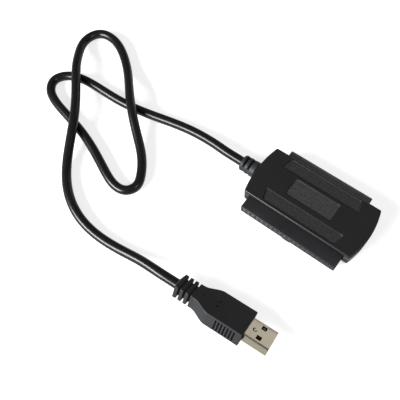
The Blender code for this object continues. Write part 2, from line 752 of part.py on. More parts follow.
def grip_sections():
    # From the cord end forwards: cone, rings on a core, neck, flare and straight grip
    rear = -GRIP_LENGTH - RELIEF_LENGTH
    sections = [plug_section(rear, RELIEF_CONE_END, RELIEF_CONE_END, RELIEF_CONE_CORNER)]

    def add_core(x):
        sections.append(plug_section(x, RELIEF_CORE, RELIEF_CORE, GRIP_CORNER))

    def add_neck(x):
        sections.append(plug_section(x, GRIP_NECK_WIDTH, GRIP_NECK_THICKNESS, GRIP_CORNER))

    x = rear + RELIEF_CONE
    for i in range(RELIEF_RINGS):
        if i > 0:
            add_core(x)
        add_neck(x)
        x += RELIEF_RING
        add_neck(x)
        add_core(x)
        x += RELIEF_GAP
    add_core(x)
    add_neck(x)
    flare = GRIP_LENGTH - GRIP_NECK - GRIP_STRAIGHT
    for k in range(FLARE_STEPS + 1):
        share = k / FLARE_STEPS
        ease = share * share * (3 - 2 * share)
        width = GRIP_NECK_WIDTH + (GRIP_WIDTH - GRIP_NECK_WIDTH) * ease
        thickness = GRIP_NECK_THICKNESS + (GRIP_THICKNESS - GRIP_NECK_THICKNESS) * ease
        x = -GRIP_LENGTH + GRIP_NECK + flare * share
        sections.append(plug_section(x, width, thickness, GRIP_CORNER))
    sections.append(plug_section(0.0, GRIP_WIDTH, GRIP_THICKNESS, GRIP_CORNER))
    return sections


def make_plug(plastic, metal, insert_finish, gold):
    frame = bpy.data.objects.new("plug_frame", None)
    bpy.context.scene.collection.objects.link(frame)
    frame.matrix_world = plug_place()

    def placed(item):
        item.parent = frame
        return item

    grip = placed(add_object("plug_overmold", loft(grip_sections()), plastic))
    pocket_y = SHELL_WIDTH / 2 + FINE_GAP
    pocket_z = SHELL_HEIGHT / 2 + FINE_GAP
    pocket = placed(add_cutter("cut_plug_pocket", boxes(
        [((-SHELL_SEAT - GAP, -pocket_y, -pocket_z), (PAST, pocket_y, pocket_z))]
    )))
    combine(grip, pocket, "DIFFERENCE")
    grooves = []
    high = GRIP_THICKNESS / 2 - RIDGE_TOP
    low = -GRIP_THICKNESS / 2 - PAST
    for i in range(RIDGE_COUNT):
        x = -RIDGE_FRONT - i * RIDGE_PITCH
        for sign in (-1, 1):
            across = sorted((sign * (GRIP_WIDTH / 2 - RIDGE_DEPTH), sign * (GRIP_WIDTH / 2 + PAST)))
            grooves.append(((x - RIDGE_WIDTH, across[0], low), (x, across[1], high)))
    combine(grip, placed(add_cutter("cut_plug_grooves", boxes(grooves))), "DIFFERENCE")
    smooth(grip)

    tube = placed(add_object("plug_shell", loft(
        [plug_section(x, SHELL_WIDTH, SHELL_HEIGHT, SHELL_CORNER) for x in (-SHELL_SEAT, SHELL_REACH)]
    ), metal))
    inner_width = SHELL_WIDTH - 2 * SHELL_WALL
    inner_height = SHELL_HEIGHT - 2 * SHELL_WALL
    bore = placed(add_cutter("cut_shell_bore", loft([
        plug_section(x, inner_width, inner_height, SHELL_CORNER - SHELL_WALL)
        for x in (-SHELL_SEAT - PAST, SHELL_REACH + PAST)
    ])))
    combine(tube, bore, "DIFFERENCE")
    half = LATCH_HOLE / 2
    windows = [
        ((LATCH_X - half, y - half, -SHELL_HEIGHT), (LATCH_X + half, y + half, SHELL_HEIGHT))
        for y in (-LATCH_Y, LATCH_Y)
    ]
    combine(tube, placed(add_cutter("cut_shell_windows", boxes(windows))), "DIFFERENCE")

    floor = -inner_height / 2 + FINE_GAP
    top = floor + INSERT_THICKNESS
    tip = SHELL_REACH - INSERT_SHORT
    rear = -SHELL_SEAT + GAP
    half_insert = inner_width / 2 - SHELL_CORNER + SHELL_WALL
    placed(add_object("plug_insert", boxes(
        [((rear, -half_insert, floor), (tip, half_insert, top))]
    ), insert_finish))
    for i in range(PLUG_CONTACTS):
        outer = i in (0, PLUG_CONTACTS - 1)
        offset = PLUG_CONTACT_OUTER if outer else PLUG_CONTACT_INNER
        y = -offset if i < PLUG_CONTACTS / 2 else offset
        reach = tip - PLUG_CONTACT_STEP * (0.5 if outer else 1.5)
        low = (rear, y - PLUG_CONTACT_WIDTH / 2, top + FINE_GAP)
        high = (reach, y + PLUG_CONTACT_WIDTH / 2, top + FINE_GAP + CONTACT_THICKNESS)
        placed(add_object(f"plug_contact_{i + 1}", boxes([(low, high)]), gold))


def build():
    clear_scene()
    case = material("case_black", (0.027, 0.027, 0.028), 0.55)
    socket = material("socket_black", (0.020, 0.021, 0.024), 0.42)
    rubber = material("cord_black", (0.014, 0.015, 0.017), 0.32)
    grip = material("plug_black", (0.017, 0.018, 0.020), 0.42)
    board = material("board_green", (0.020, 0.110, 0.055), 0.45)
    chip = material("chip_black", (0.018, 0.018, 0.019), 0.50)
    ceramic = material("ceramic_tan", (0.300, 0.200, 0.110), 0.45)
    resistor = material("resistor_black", (0.022, 0.022, 0.024), 0.40)
    tantalum = material("tantalum_yellow", (0.560, 0.340, 0.060), 0.45)
    can = material("crystal_steel", (0.620, 0.620, 0.610), 0.28, 1.0)
    gold = material("contact_gold", (0.830, 0.610, 0.240), 0.25, 1.0)
    nickel = material("shell_nickel", (0.640, 0.610, 0.560), 0.26, 1.0)
    insert_black = material("insert_black", (0.020, 0.020, 0.021), 0.45)
    wires = [
        ("red", material("wire_red", (0.450, 0.025, 0.020), 0.45)),
        ("white", material("wire_white", (0.720, 0.720, 0.700), 0.45)),
        ("green", material("wire_green", (0.030, 0.260, 0.070), 0.45)),
        ("black", material("wire_black", (0.020, 0.020, 0.021), 0.45)),
    ]
    make_case(case, case_openings())
    make_board(board)
    make_sockets(socket)
    make_header(socket, gold)
    make_electronics(chip, ceramic, resistor, tantalum, can)
    make_boot(rubber)
    make_wires(wires)
    make_cord(rubber)
    make_plug(grip, nickel, insert_black, gold)


build()
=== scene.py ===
import math

import bmesh
import bpy
import numpy as np
from mathutils import Matrix


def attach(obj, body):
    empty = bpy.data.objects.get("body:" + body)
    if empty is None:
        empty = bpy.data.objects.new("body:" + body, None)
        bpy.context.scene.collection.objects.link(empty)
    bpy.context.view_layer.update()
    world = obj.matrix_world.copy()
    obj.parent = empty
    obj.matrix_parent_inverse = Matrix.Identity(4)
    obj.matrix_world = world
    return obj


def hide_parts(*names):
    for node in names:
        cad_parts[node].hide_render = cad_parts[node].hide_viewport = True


# Drive adapter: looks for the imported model. Lengths are in millimetres until a mesh is made.
# x runs to the header end, -y to the 40-way socket and the light, z up from the table.

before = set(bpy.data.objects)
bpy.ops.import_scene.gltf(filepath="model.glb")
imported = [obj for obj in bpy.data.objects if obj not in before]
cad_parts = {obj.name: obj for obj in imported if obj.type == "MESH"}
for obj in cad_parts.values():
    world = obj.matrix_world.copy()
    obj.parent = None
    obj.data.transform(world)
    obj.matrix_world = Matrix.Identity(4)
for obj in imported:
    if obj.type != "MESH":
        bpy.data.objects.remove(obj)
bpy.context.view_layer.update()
mm = 0.001
midPlane = 4.8


# shapes

def smoothStep(t):
    # 0 below 0, 1 above 1, and 3 t squared - 2 t cubed in between
    t = np.clip(t, 0.0, 1.0)
    return t * t * (3.0 - 2.0 * t)


def denseLines(low, high, step, edges, reach, fine):
    # Grid lines from low to high: coarse ones, and fine ones within reach of each edge
    coarse = np.linspace(low, high, max(2, int(round((high - low) / step)) + 1))
    near = np.add.outer(edges, np.arange(-reach, reach + fine / 2, fine)).ravel()
    away = np.min(np.abs(coarse[:, None] - np.array(edges)), axis=1)
    lines = np.unique(np.round(np.concatenate([coarse[away > reach], near, [low, high]]), 4))
    return lines[(lines >= low) & (lines <= high)]


def gridFaces(index, wrap=False):
    # Quads between neighbouring rows and columns of an index grid
    right = np.roll(index, -1, axis=1) if wrap else index[:, 1:]
    left = index if wrap else index[:, :-1]
    return np.stack([left[:-1], right[:-1], right[1:], left[1:]], axis=-1).reshape(-1, 4)


def fanFaces(ring, pole):
    # Triangles from a closed ring of indices to one pole
    return np.stack([ring, np.roll(ring, -1), np.full_like(ring, pole)], axis=-1)


def closedSkin(rings, startPole=None, endPole=None):
    # rings: array of (rings, points, 3); its two ends are closed by fans to poles in their middle
    rings = np.asarray(rings, float)
    total, count = rings.shape[:2]
    first = rings[0].mean(axis=0) if startPole is None else startPole
    last = rings[-1].mean(axis=0) if endPole is None else endPole
    points = np.vstack([rings.reshape(-1, 3), [first, last]])
    index = np.arange(total * count).reshape(total, count)
    faces = gridFaces(index, wrap=True).tolist()
    faces += fanFaces(index[0], total * count).tolist() + fanFaces(index[-1], total * count + 1).tolist()
    return points, faces


def makePiece(name, points, faces, sharp=35.0):
    # points in millimetres; faces turned outwards
    mesh = bpy.data.meshes.new(name)
    mesh.from_pydata((np.asarray(points) * mm).tolist(), [], faces)
    work = bmesh.new()
    work.from_mesh(mesh)
    bmesh.ops.remove_doubles(work, verts=work.verts, dist=1e-8)
    bmesh.ops.recalc_face_normals(work, faces=work.faces)
    work.to_mesh(mesh)
    work.free()
    mesh.shade_smooth()
    mesh.set_sharp_from_angle(angle=math.radians(sharp))
    piece = bpy.data.objects.new(name, mesh)
    bpy.context.scene.collection.objects.link(piece)
    return piece


def carve(piece, steps, sharp=35.0):
    # Booleans applied at once: steps are (operation, points, faces)
    for operation, points, faces in steps:
        tool = makePiece("tool", points, faces)
        change = piece.modifiers.new("change", "BOOLEAN")
        change.operation = operation
        change.object = tool
        change.solver = "EXACT"
        graph = bpy.context.evaluated_depsgraph_get()
        mesh = bpy.data.meshes.new_from_object(piece.evaluated_get(graph))
        piece.modifiers.clear()
        piece.data = mesh
        bpy.data.objects.remove(tool, do_unlink=True)
    piece.data.shade_smooth()
    piece.data.set_sharp_from_angle(angle=math.radians(sharp))
    return piece


def roundedRect(halfA, halfB, corner, steps=6, spread=None):
    # Points round a rectangle: each corner's middle + corner x (cos, sin) over a quarter turn, then
    # the flat that follows it, at the places of spread from -1 to 1 of its length
    half = np.array((halfA, halfB))
    flat = half - corner
    turn = np.linspace(0.0, math.pi / 2, steps + 1)
    parts = []
    for i, signs in enumerate(((1, -1), (1, 1), (-1, 1), (-1, -1))):
        angle = (i - 1) * math.pi / 2 + turn
        parts.append(flat * signs + corner * np.stack([np.cos(angle), np.sin(angle)], axis=1))
        if spread is not None:
            outward = np.array(((1, 0), (0, 1), (-1, 0), (0, -1))[i])
            along = np.array((-outward[1], outward[0]))
            parts.append(outward * half + np.outer(spread[i], along * flat))
    return np.vstack(parts)


def softBox(low, high, axis=0, edge=0.0, corner=0.05, steps=3):
    # Box swept along one axis: a rounded rectangle whose two ends are rounded over by edge
    low = np.array(low, float)
    high = np.array(high, float)
    others = [i for i in range(3) if i != axis]
    half = (high - low) / 2
    middle = (high + low) / 2
    if edge > 0:
        turn = np.linspace(0.0, math.pi / 2, steps + 1)
        shrink = edge * (1 - np.sin(turn))
        place = edge * (1 - np.cos(turn))
        stations = [(low[axis] + p, s) for p, s in zip(place, shrink)]
        stations += [(high[axis] - p, s) for p, s in zip(place[::-1], shrink[::-1])]
    else:
        stations = [(low[axis], 0.0), (high[axis], 0.0)]
    rings = []
    for place, shrink in stations:
        flat = roundedRect(half[others[0]] - shrink, half[others[1]] - shrink, max(corner, 0.01), steps)
        ring = np.zeros((len(flat), 3))
        ring[:, axis] = place
        ring[:, others[0]] = flat[:, 0] + middle[others[0]]
        ring[:, others[1]] = flat[:, 1] + middle[others[1]]
        rings.append(ring)
    return closedSkin(rings)


def joined(shapes):
    # Several closed skins as one mesh
    points = []
    faces = []
    start = 0
    for some, more in shapes:
        points.append(np.asarray(some))
        faces += [[i + start for i in face] for face in more]
        start += len(some)
    return np.vstack(points), faces


def pegs(places, low, high, radius, sides=32):
    # Upright round pegs
    turn = np.linspace(0, 2 * math.pi, sides, endpoint=False)
    ring = np.stack([radius * np.cos(turn), radius * np.sin(turn)], axis=1)
    shapes = []
    for x, y in places:
        rings = [np.column_stack([ring + (x, y), np.full(sides, z)]) for z in (low, high)]
        shapes.append(closedSkin(rings))
    return joined(shapes)


# finishes

def inputNode(tree, kind, place, **values):
    # A node with some of its settings and sockets filled in
    node = tree.nodes.new(kind)
    node.location = place
    for key, value in values.items():
        if hasattr(node, key):
            setattr(node, key, value)
        else:
            node.inputs[key.replace("_", " ")].default_value = value
    return node


# what every finish shares, where its own entry says nothing else
plainLook = {
    "metallic": 0.0, "specular": 0.5, "stretch": (1.0, 1.0, 1.0), "patches": 90.0, "patchSpan": (0.3, 0.7),
    "wander": 400.0, "grain": 3500.0, "grainDepth": 0.000001, "ripple": 600.0, "rippleDepth": 0.000001,
    "noiseRoughness": 0.6, "speckSpan": (0.33, 0.67),
}


def surface(name, ownLook):
    # Moulded or plated skin: two close colours mixed by a slow noise, a roughness that wanders,
    # and two sizes of grain as bump, all on Object coordinates
    look = {**plainLook, **ownLook}
    finish = bpy.data.materials.new(name)
    finish.use_nodes = True
    tree = finish.node_tree
    link = tree.links.new
    shader = tree.nodes["Principled BSDF"]
    shader.inputs["Metallic"].default_value = look["metallic"]
    shader.inputs["Specular IOR Level"].default_value = look["specular"]
    ownPlace = inputNode(tree, "ShaderNodeTexCoord", (-1400, 0))
    stretch = inputNode(tree, "ShaderNodeMapping", (-1200, 0), Scale=look["stretch"])
    link(ownPlace.outputs["Object"], stretch.inputs["Vector"])

    def noise(scale, detail, y):
        node = inputNode(tree, "ShaderNodeTexNoise", (-950, y), Scale=scale, Detail=detail,
                         Roughness=look["noiseRoughness"])
        link(stretch.outputs["Vector"], node.inputs["Vector"])
        return node.outputs["Fac"]

    def ramp(value, place, span=(0.0, 1.0), result=(0.0, 1.0)):
        node = inputNode(tree, "ShaderNodeMapRange", place, From_Min=span[0], From_Max=span[1],
                         To_Min=result[0], To_Max=result[1])
        link(value, node.inputs["Value"])
        return node.outputs["Result"]

    def blend(kind, factor, place, first, second):
        # each of the two is a node's output, or a fixed value
        node = inputNode(tree, "ShaderNodeMix", place, data_type=kind)
        link(factor, node.inputs["Factor"])
        for key, value in (("A", first), ("B", second)):
            if isinstance(value, bpy.types.NodeSocket):
                link(value, node.inputs[key])
            else:
                node.inputs[key].default_value = value
        return node.outputs["Result"]

    def bump(height, place, depth, under=None):
        node = inputNode(tree, "ShaderNodeBump", place, Strength=1.0, Distance=depth)
        link(height, node.inputs["Height"])
        if under is not None:
            link(under, node.inputs["Normal"])
        return node.outputs["Normal"]

    patches = ramp(noise(look["patches"], 5.0, 300), (-730, 300), look["patchSpan"])
    colour = blend("RGBA", patches, (-500, 300), (*look["dark"], 1.0), (*look["light"], 1.0))
    roughness = ramp(noise(look["wander"], 3.0, 0), (-500, 0), result=look["rough"])
    normal = bump(noise(look["grain"], 2.0, -300), (-500, -300), look["grainDepth"])
    normal = bump(noise(look["ripple"], 3.0, -550), (-250, -300), look["rippleDepth"], normal)

    if "mask" in look:
        # by the share in the piece's own attribute, the spark-eroded texture of the recesses
        spark = look["spark"]
        own = inputNode(tree, "ShaderNodeAttribute", (-1400, -800), attribute_name=look["mask"])
        mask = own.outputs["Fac"]
        speck = noise(spark["grain"], 3.0, -800)
        tint = blend("RGBA", ramp(speck, (-730, 600), look["speckSpan"]), (-500, 600),
                     (*spark["dark"], 1.0), (*spark["light"], 1.0))
        colour = blend("RGBA", mask, (-250, 500), colour, tint)
        roughness = blend("FLOAT", mask, (-250, 50), roughness, spark["rough"])
        height = inputNode(tree, "ShaderNodeMath", (-700, -800), operation="MULTIPLY")
        link(speck, height.inputs[0])
        link(mask, height.inputs[1])
        normal = bump(height.outputs["Value"], (0, -300), spark["depth"], normal)

    link(colour, shader.inputs["Base Color"])
    link(roughness, shader.inputs["Roughness"])
    link(normal, shader.inputs["Normal"])
    return finish


looks = {
    "case": {"dark": (0.0140, 0.0140, 0.0140), "light": (0.0160, 0.0160, 0.0158), "rough": (0.33, 0.37),
             "specular": 0.54, "grain": 2600.0, "ripple": 260.0, "mask": "recess",
             "spark": {"grain": 1500.0, "dark": (0.020, 0.020, 0.020), "light": (0.054, 0.054, 0.053),
                       "rough": 0.6, "depth": 0.00008}},
    "socket": {"dark": (0.0160, 0.0164, 0.0190), "light": (0.0225, 0.0230, 0.0258),
               "rough": (0.38, 0.46), "specular": 0.4,
               "grain": 1600.0, "grainDepth": 0.000002, "ripple": 300.0, "rippleDepth": 0.000003},
    # the 44-way socket's black plastic, painted about six times lighter than the 40-way's: painted light
    # where the case's shadow keeps the key lamp off its top
    "socketFarPaintedLight": {"dark": (0.0950, 0.0960, 0.1000), "light": (0.1500, 0.1510, 0.1570),
                  "rough": (0.64, 0.72),
                  "grain": 1600.0, "grainDepth": 0.000002, "ripple": 300.0, "rippleDepth": 0.000003},
    "cord": {"dark": (0.0060, 0.0066, 0.0080), "light": (0.0070, 0.0076, 0.0090),
             "rough": (0.26, 0.28), "specular": 0.48,
             "grain": 900.0, "grainDepth": 0.0000003, "ripple": 120.0, "rippleDepth": 0.0000005},
    "boot": {"dark": (0.0300, 0.0312, 0.0352), "light": (0.0350, 0.0362, 0.0405),
             "rough": (0.44, 0.50), "specular": 0.36,
             "grain": 1800.0, "ripple": 200.0, "rippleDepth": 0.000002},
    "grip": {"dark": (0.0230, 0.0238, 0.0262), "light": (0.0270, 0.0278, 0.0302),
             "rough": (0.48, 0.54), "specular": 0.36,
             "grain": 2200.0, "ripple": 200.0, "rippleDepth": 0.000002},
    "nickel": {"dark": (0.60, 0.54, 0.415), "light": (0.645, 0.58, 0.45), "rough": (0.20, 0.23),
               "metallic": 1.0, "stretch": (0.3, 1.0, 1.0), "grain": 3000.0, "grainDepth": 0.0000006,
               "ripple": 260.0, "rippleDepth": 0.0000006, "patches": 160.0},
    # the catch's plated metal, painted far darker than the shell's nickel: painted shade for the dim inside
    # of the far window
    "catch": {"dark": (0.20, 0.185, 0.13), "light": (0.26, 0.24, 0.17), "rough": (0.45, 0.55),
              "metallic": 1.0},
    "insert": {"dark": (0.016, 0.016, 0.017), "light": (0.022, 0.022, 0.023), "rough": (0.4, 0.5),
               "patches": 200.0},
    "gold": {"dark": (0.74, 0.52, 0.19), "light": (0.86, 0.64, 0.28), "rough": (0.2, 0.3),
             "metallic": 1.0},
    "tin": {"dark": (0.55, 0.55, 0.54), "light": (0.7, 0.7, 0.69), "rough": (0.25, 0.4), "metallic": 1.0},
    "can": {"dark": (0.55, 0.55, 0.54), "light": (0.66, 0.66, 0.65), "rough": (0.22, 0.34),
            "metallic": 1.0},
    "board": {"dark": (0.012, 0.085, 0.04), "light": (0.02, 0.12, 0.06), "rough": (0.3, 0.42),
              "patches": 500.0},
    "chip": {"dark": (0.014, 0.014, 0.015), "light": (0.022, 0.022, 0.023), "rough": (0.5, 0.65),
             "patches": 900.0},
    "ceramic": {"dark": (0.26, 0.17, 0.09), "light": (0.34, 0.23, 0.13), "rough": (0.35, 0.5),
                "patches": 900.0},
    "resistor": {"dark": (0.016, 0.016, 0.018), "light": (0.026, 0.026, 0.028), "rough": (0.3, 0.4)},
    "tantalum": {"dark": (0.5, 0.3, 0.05), "light": (0.6, 0.37, 0.07), "rough": (0.4, 0.5)},
    "red": {"dark": (0.4, 0.02, 0.016), "light": (0.5, 0.03, 0.024), "rough": (0.4, 0.5)},
    "white": {"dark": (0.66, 0.66, 0.64), "light": (0.76, 0.76, 0.74), "rough": (0.4, 0.5)},
    "green": {"dark": (0.025, 0.22, 0.06), "light": (0.035, 0.28, 0.08), "rough": (0.4, 0.5)},
    "black": {"dark": (0.017, 0.017, 0.018), "light": (0.023, 0.023, 0.024), "rough": (0.4, 0.5)},
}
finishes = {name: surface(name, look) for name, look in looks.items()}


def dress(piece, finish, *nodes):
    # Give a piece its finish, its slot, its body and the CAD solids it stands for
    piece.data.materials.clear()
    piece.data.materials.append(finishes[finish])
    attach(piece, "root")
    if nodes:
        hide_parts(*nodes)
    return piece


# camera, found from the case's corners and the sockets' known lengths
view = {
    "lens": 46.28, "sensor": 36.0, "clip": (0.01, 20.0), "eye": (26.26, -100.75, 233.78),
    "forward": (-0.2825, 0.2868, -0.9154), "across": (0.7977, 0.6002, -0.0581),
}


def facing(across, upward, forward, place):
    # Matrix of a camera or a lamp at place, whose own -z looks along forward
    turn = np.identity(4)
    turn[:3] = np.column_stack([across, upward, -forward, place])
    return Matrix(turn.tolist())


def makeCamera():
    # across is squared up against forward, and up is their cross product
    camera = bpy.data.objects.new("camera", bpy.data.cameras.new("camera"))
    camera.data.lens = view["lens"]
    camera.data.sensor_width = view["sensor"]
    camera.data.clip_start, camera.data.clip_end = view["clip"]
    forward = np.array(view["forward"])
    across = np.array(view["across"])
    forward /= np.linalg.norm(forward)
    across -= forward * across.dot(forward)
    across /= np.linalg.norm(across)
    upward = np.cross(across, forward)
    camera.matrix_world = facing(across, upward, forward, np.array(view["eye"]) * mm)
    bpy.context.scene.collection.objects.link(camera)
    bpy.context.scene.camera = camera


makeCamera()
print("camera set")


# where the plug lies, rolled onto one edge, and which way it points
plug = {"front": (9.65, -66.32, 7.684), "yaw": 3.85, "roll": -34.8}
plugTurn = np.array(Matrix.Rotation(math.radians(plug["yaw"]), 3, "Z")
                    @ Matrix.Rotation(math.radians(plug["roll"]), 3, "X"))


def plugToObject(points):
    # From the plug's own axes, x ahead and z out of its top, to the object's: turn x point + front
    return np.asarray(points) @ plugTurn.T + np.array(plug["front"])


def plugPiece(name, shape, sharp=35.0):
    # A piece whose points are given on the plug's own axes
    points, faces = shape
    return makePiece(name, plugToObject(points), faces, sharp)


# cord: the route of the CAD solid, read again as one smooth curve
cord = {
    "diameter": 4.9, "sides": 28, "spacing": 1.1, "curveSteps": 40,
    "bootTip": (-39.5, 0.0, midPlane), "inBoot": 1.2,  # where it leaves the boot, and how deep it is in
    "plugEnd": -36.65, "inPlug": 1.2,                  # the same at the plug, along its axis
    "stub": 0.3,                                       # straight length outside both
    "route": (
        (-56.5, 0.45, 4.45), (-63.5, 0.72, 3.80), (-70.7, 0.54, 3.20), (-85.8, -1.7, 2.62),
        (-103.0, -5.3, 2.62), (-118.3, -6.9, 2.62), (-137.1, -7.2, 2.62), (-147.7, -9.2, 2.62),
        (-152.2, -12.0, 2.62), (-155.0, -17.5, 2.62), (-152.3, -23.1, 2.62), (-146.0, -26.8, 2.62),
        (-135.3, -29.7, 2.62), (-120.5, -33.2, 2.62), (-104.1, -39.2, 2.62), (-92.1, -44.6, 2.62),
        (-84.6, -46.8, 2.62), (-78.3, -45.5, 2.62), (-75.7, -40.8, 2.62), (-77.6, -34.9, 2.62),
        (-83.7, -26.8, 2.85), (-94.4, -17.6, 4.80), (-105.6, -7.9, 7.75), (-115.1, 1.3, 5.95),
        (-126.2, 11.8, 2.85), (-137.8, 20.1, 2.62), (-148.2, 23.4, 2.62), (-155.6, 21.7, 2.62),
        (-158.8, 14.9, 2.98), (-154.7, 3.9, 4.95), (-145.8, -7.2, 7.85), (-137.3, -17.0, 7.00),
        (-125.3, -31.4, 7.85), (-117.8, -44.3, 4.95), (-109.9, -55.9, 2.62), (-100.0, -64.5, 2.62),
        (-87.1, -70.3, 2.62), (-71.8, -72.0, 2.62), (-58.6, -70.9, 3.35), (-47.7, -69.8, 5.60),
    ),
}


def cordCurve(knots, first, last, spacing):
    # Cubic pieces whose slopes make the curvature run on, solved together, then even steps of length
    knots = np.array(knots, float)
    chord = np.linalg.norm(np.diff(knots, axis=0), axis=1)
    count = len(knots)
    slope = np.diff(knots, axis=0) / chord[:, None]
    system = np.zeros((count, count))
    right = np.zeros((count, 3))
    system[0, 0] = system[-1, -1] = 1.0
    right[0], right[-1] = first, last
    inner = np.arange(1, count - 1)
    system[inner, inner - 1] = chord[1:]
    system[inner, inner] = 2 * (chord[1:] + chord[:-1])
    system[inner, inner + 1] = chord[:-1]
    right[1:-1] = 3 * (chord[1:, None] * slope[:-1] + chord[:-1, None] * slope[1:])
    tangent = np.linalg.solve(system, right)
    u = np.linspace(0.0, 1.0, cord["curveSteps"], endpoint=False)[None, :, None]
    a, b = knots[:-1, None], knots[1:, None]
    ta, tb = tangent[:-1, None] * chord[:, None, None], tangent[1:, None] * chord[:, None, None]
    fine = ((2 * u**3 - 3 * u**2 + 1) * a + (u**3 - 2 * u**2 + u) * ta
            + (3 * u**2 - 2 * u**3) * b + (u**3 - u**2) * tb).reshape(-1, 3)
    fine = np.vstack([fine, knots[-1:]])
    run = np.concatenate(([0.0], np.cumsum(np.linalg.norm(np.diff(fine, axis=0), axis=1))))
    even = np.linspace(0.0, run[-1], int(round(run[-1] / spacing)) + 1)
    return np.stack([np.interp(even, run, fine[:, i]) for i in range(3)], axis=1), run[-1]


def makeCord():
    # A circle carried along the curve on a frame that keeps its side level:
    # path + radius x (cos x side + sin x over)
    stub = cord["stub"]
    start = np.array(cord["bootTip"]) - (stub, 0, 0)
    axis = plugTurn @ np.array((1.0, 0.0, 0.0))
    end = plugToObject((cord["plugEnd"] - stub, 0.0, 0.0))
    lead = 2 * cord["diameter"]
    knots = [start, start - (lead, 0, 0), *cord["route"], end - axis * lead, end]
    path, length = cordCurve(knots, (-1.0, 0.0, 0.0), axis, cord["spacing"])
    full = np.vstack([start + (stub + cord["inBoot"], 0, 0), path, end + axis * (stub + cord["inPlug"])])
    ahead = np.gradient(full, axis=0)
    ahead /= np.linalg.norm(ahead, axis=1)[:, None]
    side = np.cross(ahead, (0.0, 0.0, 1.0))
    side /= np.linalg.norm(side, axis=1)[:, None]
    over = np.cross(side, ahead)
    turn = np.linspace(0, 2 * math.pi, cord["sides"], endpoint=False)
    radius = cord["diameter"] / 2
    rings = (full[:, None] + radius * (np.cos(turn)[None, :, None] * side[:, None]
                                       + np.sin(turn)[None, :, None] * over[:, None]))
    points, faces = closedSkin(rings)
    return makePiece("cord", points, faces), full, length


cordPiece, cordPath, cordLength = makeCord()
dress(cordPiece, "cord", "usb_cord")
print("cord", round(cordLength, 1), "mm")


# case: outline with bowed ends, swept down in rings, and a top face that dips in three recesses
case = {
    "halfLength": 28.7, "side": 14.3, "height": 9.6, "cableBow": 1.9, "headerBow": 2.3, "corner": 1.0,
    "topEdge": 0.9, "footEdge": 1.7, "wall": 1.5, "roof": 1.5, "gap": 0.3, "seam": 0.12,
    "recessDepth": 0.5, "recessWall": 0.25,
    "label": {"halfLength": 12.2, "halfWidth": 4.85, "offset": 0.5, "corner": 0.8},
    "panel": {"halfLength": 21.0, "inner": 6.7, "outer": 13.0, "slant": 1.8,
              "corner": 1.3, "farCorner": 0.5},
    # how strong the recesses' texture is on the panels, and where the label's part ends
    "panelShare": 0.55, "labelReach": 6.0,
    # the grid's coarse step, its last straight column, and where its columns start and stop to lean
    "step": 0.8, "lastColumn": 24.5, "leanReach": (13.5, 20.0, 21.6, 24.5),
    # press pins and bosses of the foot, tubes and bores of the top, and their distance from the middle
    "posts": [(x, y) for x in (-23.8, 17.9) for y in (-7.2, 7.2)],
    "pin": 0.9, "boss": 1.7, "tube": 2.0, "bore": 1.2, "standOff": 1.05,
    # ways out for both sockets and the serial header: two corners, and the axis each runs along
    "openings": (
        ((-26.1, -16.2, midPlane - 2.84), (26.1, -12.2, midPlane + 2.84), 1),
        ((-22.75, 12.2, midPlane - 2.3), (22.75, 16.2, midPlane + 2.3), 1),
        ((21.5, -8.5, midPlane - 3.2), (32.0, 8.5, midPlane + 3.2), 0),
    ),
    "neckBore": {"radius": 3.0, "ends": (-34, -27), "sides": 40},
}


def endPoints(bow, inset, share, turn):
    # One bowed end: an arc over share -1..1, then the corner arc over turn 0..1 at both sides
    side = case["side"] - inset
    corner = max(case["corner"] - inset, 0.3)
    radius = (case["side"] ** 2 + bow ** 2) / (2 * bow)
    centre = case["halfLength"] + bow - radius
    radius -= inset
    cornerX = centre + math.sqrt((radius - corner) ** 2 - (side - corner) ** 2)
    swing = math.asin((side - corner) / (radius - corner))
    y = share * radius * math.sin(swing)
    x = centre + np.sqrt(radius ** 2 - y ** 2)
    angle = swing + turn * (math.pi / 2 - swing)
    farY = side - corner + corner * np.sin(angle)
    farX = cornerX + corner * np.cos(angle)
    return np.concatenate([farX[::-1], x, farX]), np.concatenate([-farY[::-1], y, farY])


def recessDepthAt(x, y):
    # Depth of the top face as a share: the distance to a rounded box for the label and to rounded
    # trapezoids for the panels, eased over the width of a wall
    def dip(edges, corner):
        over = np.stack(edges) + corner
        outside = np.sqrt((np.maximum(over, 0.0) ** 2).sum(axis=0))
        gap = outside + np.minimum(np.max(over, axis=0), 0.0) - corner
        return smoothStep(0.5 - gap / case["recessWall"])

    label, panel = case["label"], case["panel"]
    slope = panel["slant"] / (panel["outer"] - panel["inner"])
    lean = 1.0 / math.sqrt(1 + slope ** 2)
    aside = np.abs(y)
    ends = (np.abs(x) - panel["halfLength"] + slope * (aside - panel["inner"])) * lean
    corner = np.where(y < 0, panel["corner"], panel["farCorner"])
    labelEdges = [np.abs(x) - label["halfLength"], np.abs(y - label["offset"]) - label["halfWidth"]]
    panelEdges = [panel["inner"] - aside, aside - panel["outer"], ends]
    return np.maximum(dip(labelEdges, label["corner"]), dip(panelEdges, corner))


def caseGrid(inset, share, turn, columns, blend):
    # Rows run along the case; columns are straight in the middle, lean with the panels' ends,
    # and bend into the bowed ends over the last stretch
    panel = case["panel"]
    headX, headY = endPoints(case["headerBow"], inset, share, turn)
    tailX, tailY = endPoints(case["cableBow"], inset, share, turn)
    span = panel["outer"] - panel["inner"]
    lean = -panel["slant"] * np.clip((np.abs(headY) - panel["inner"]) / span, 0, 1)
    weight = np.interp(np.abs(columns), case["leanReach"], (0.0, 1.0, 1.0, 0.0)) * np.sign(columns)
    x = columns[None, :] + lean[:, None] * weight[None, :]
    y = np.repeat(headY[:, None], len(columns), axis=1)
    rightX = x[:, -1:] + (headX[:, None] - x[:, -1:]) * blend
    rightY = y[:, -1:] + (headY[:, None] - y[:, -1:]) * blend
    leftX = x[:, :1] + (-tailX[:, None] - x[:, :1]) * blend
    leftY = y[:, :1] + (tailY[:, None] - y[:, :1]) * blend
    return (np.concatenate([leftX[:, ::-1], x, rightX], axis=1),
            np.concatenate([leftY[:, ::-1], y, rightY], axis=1))


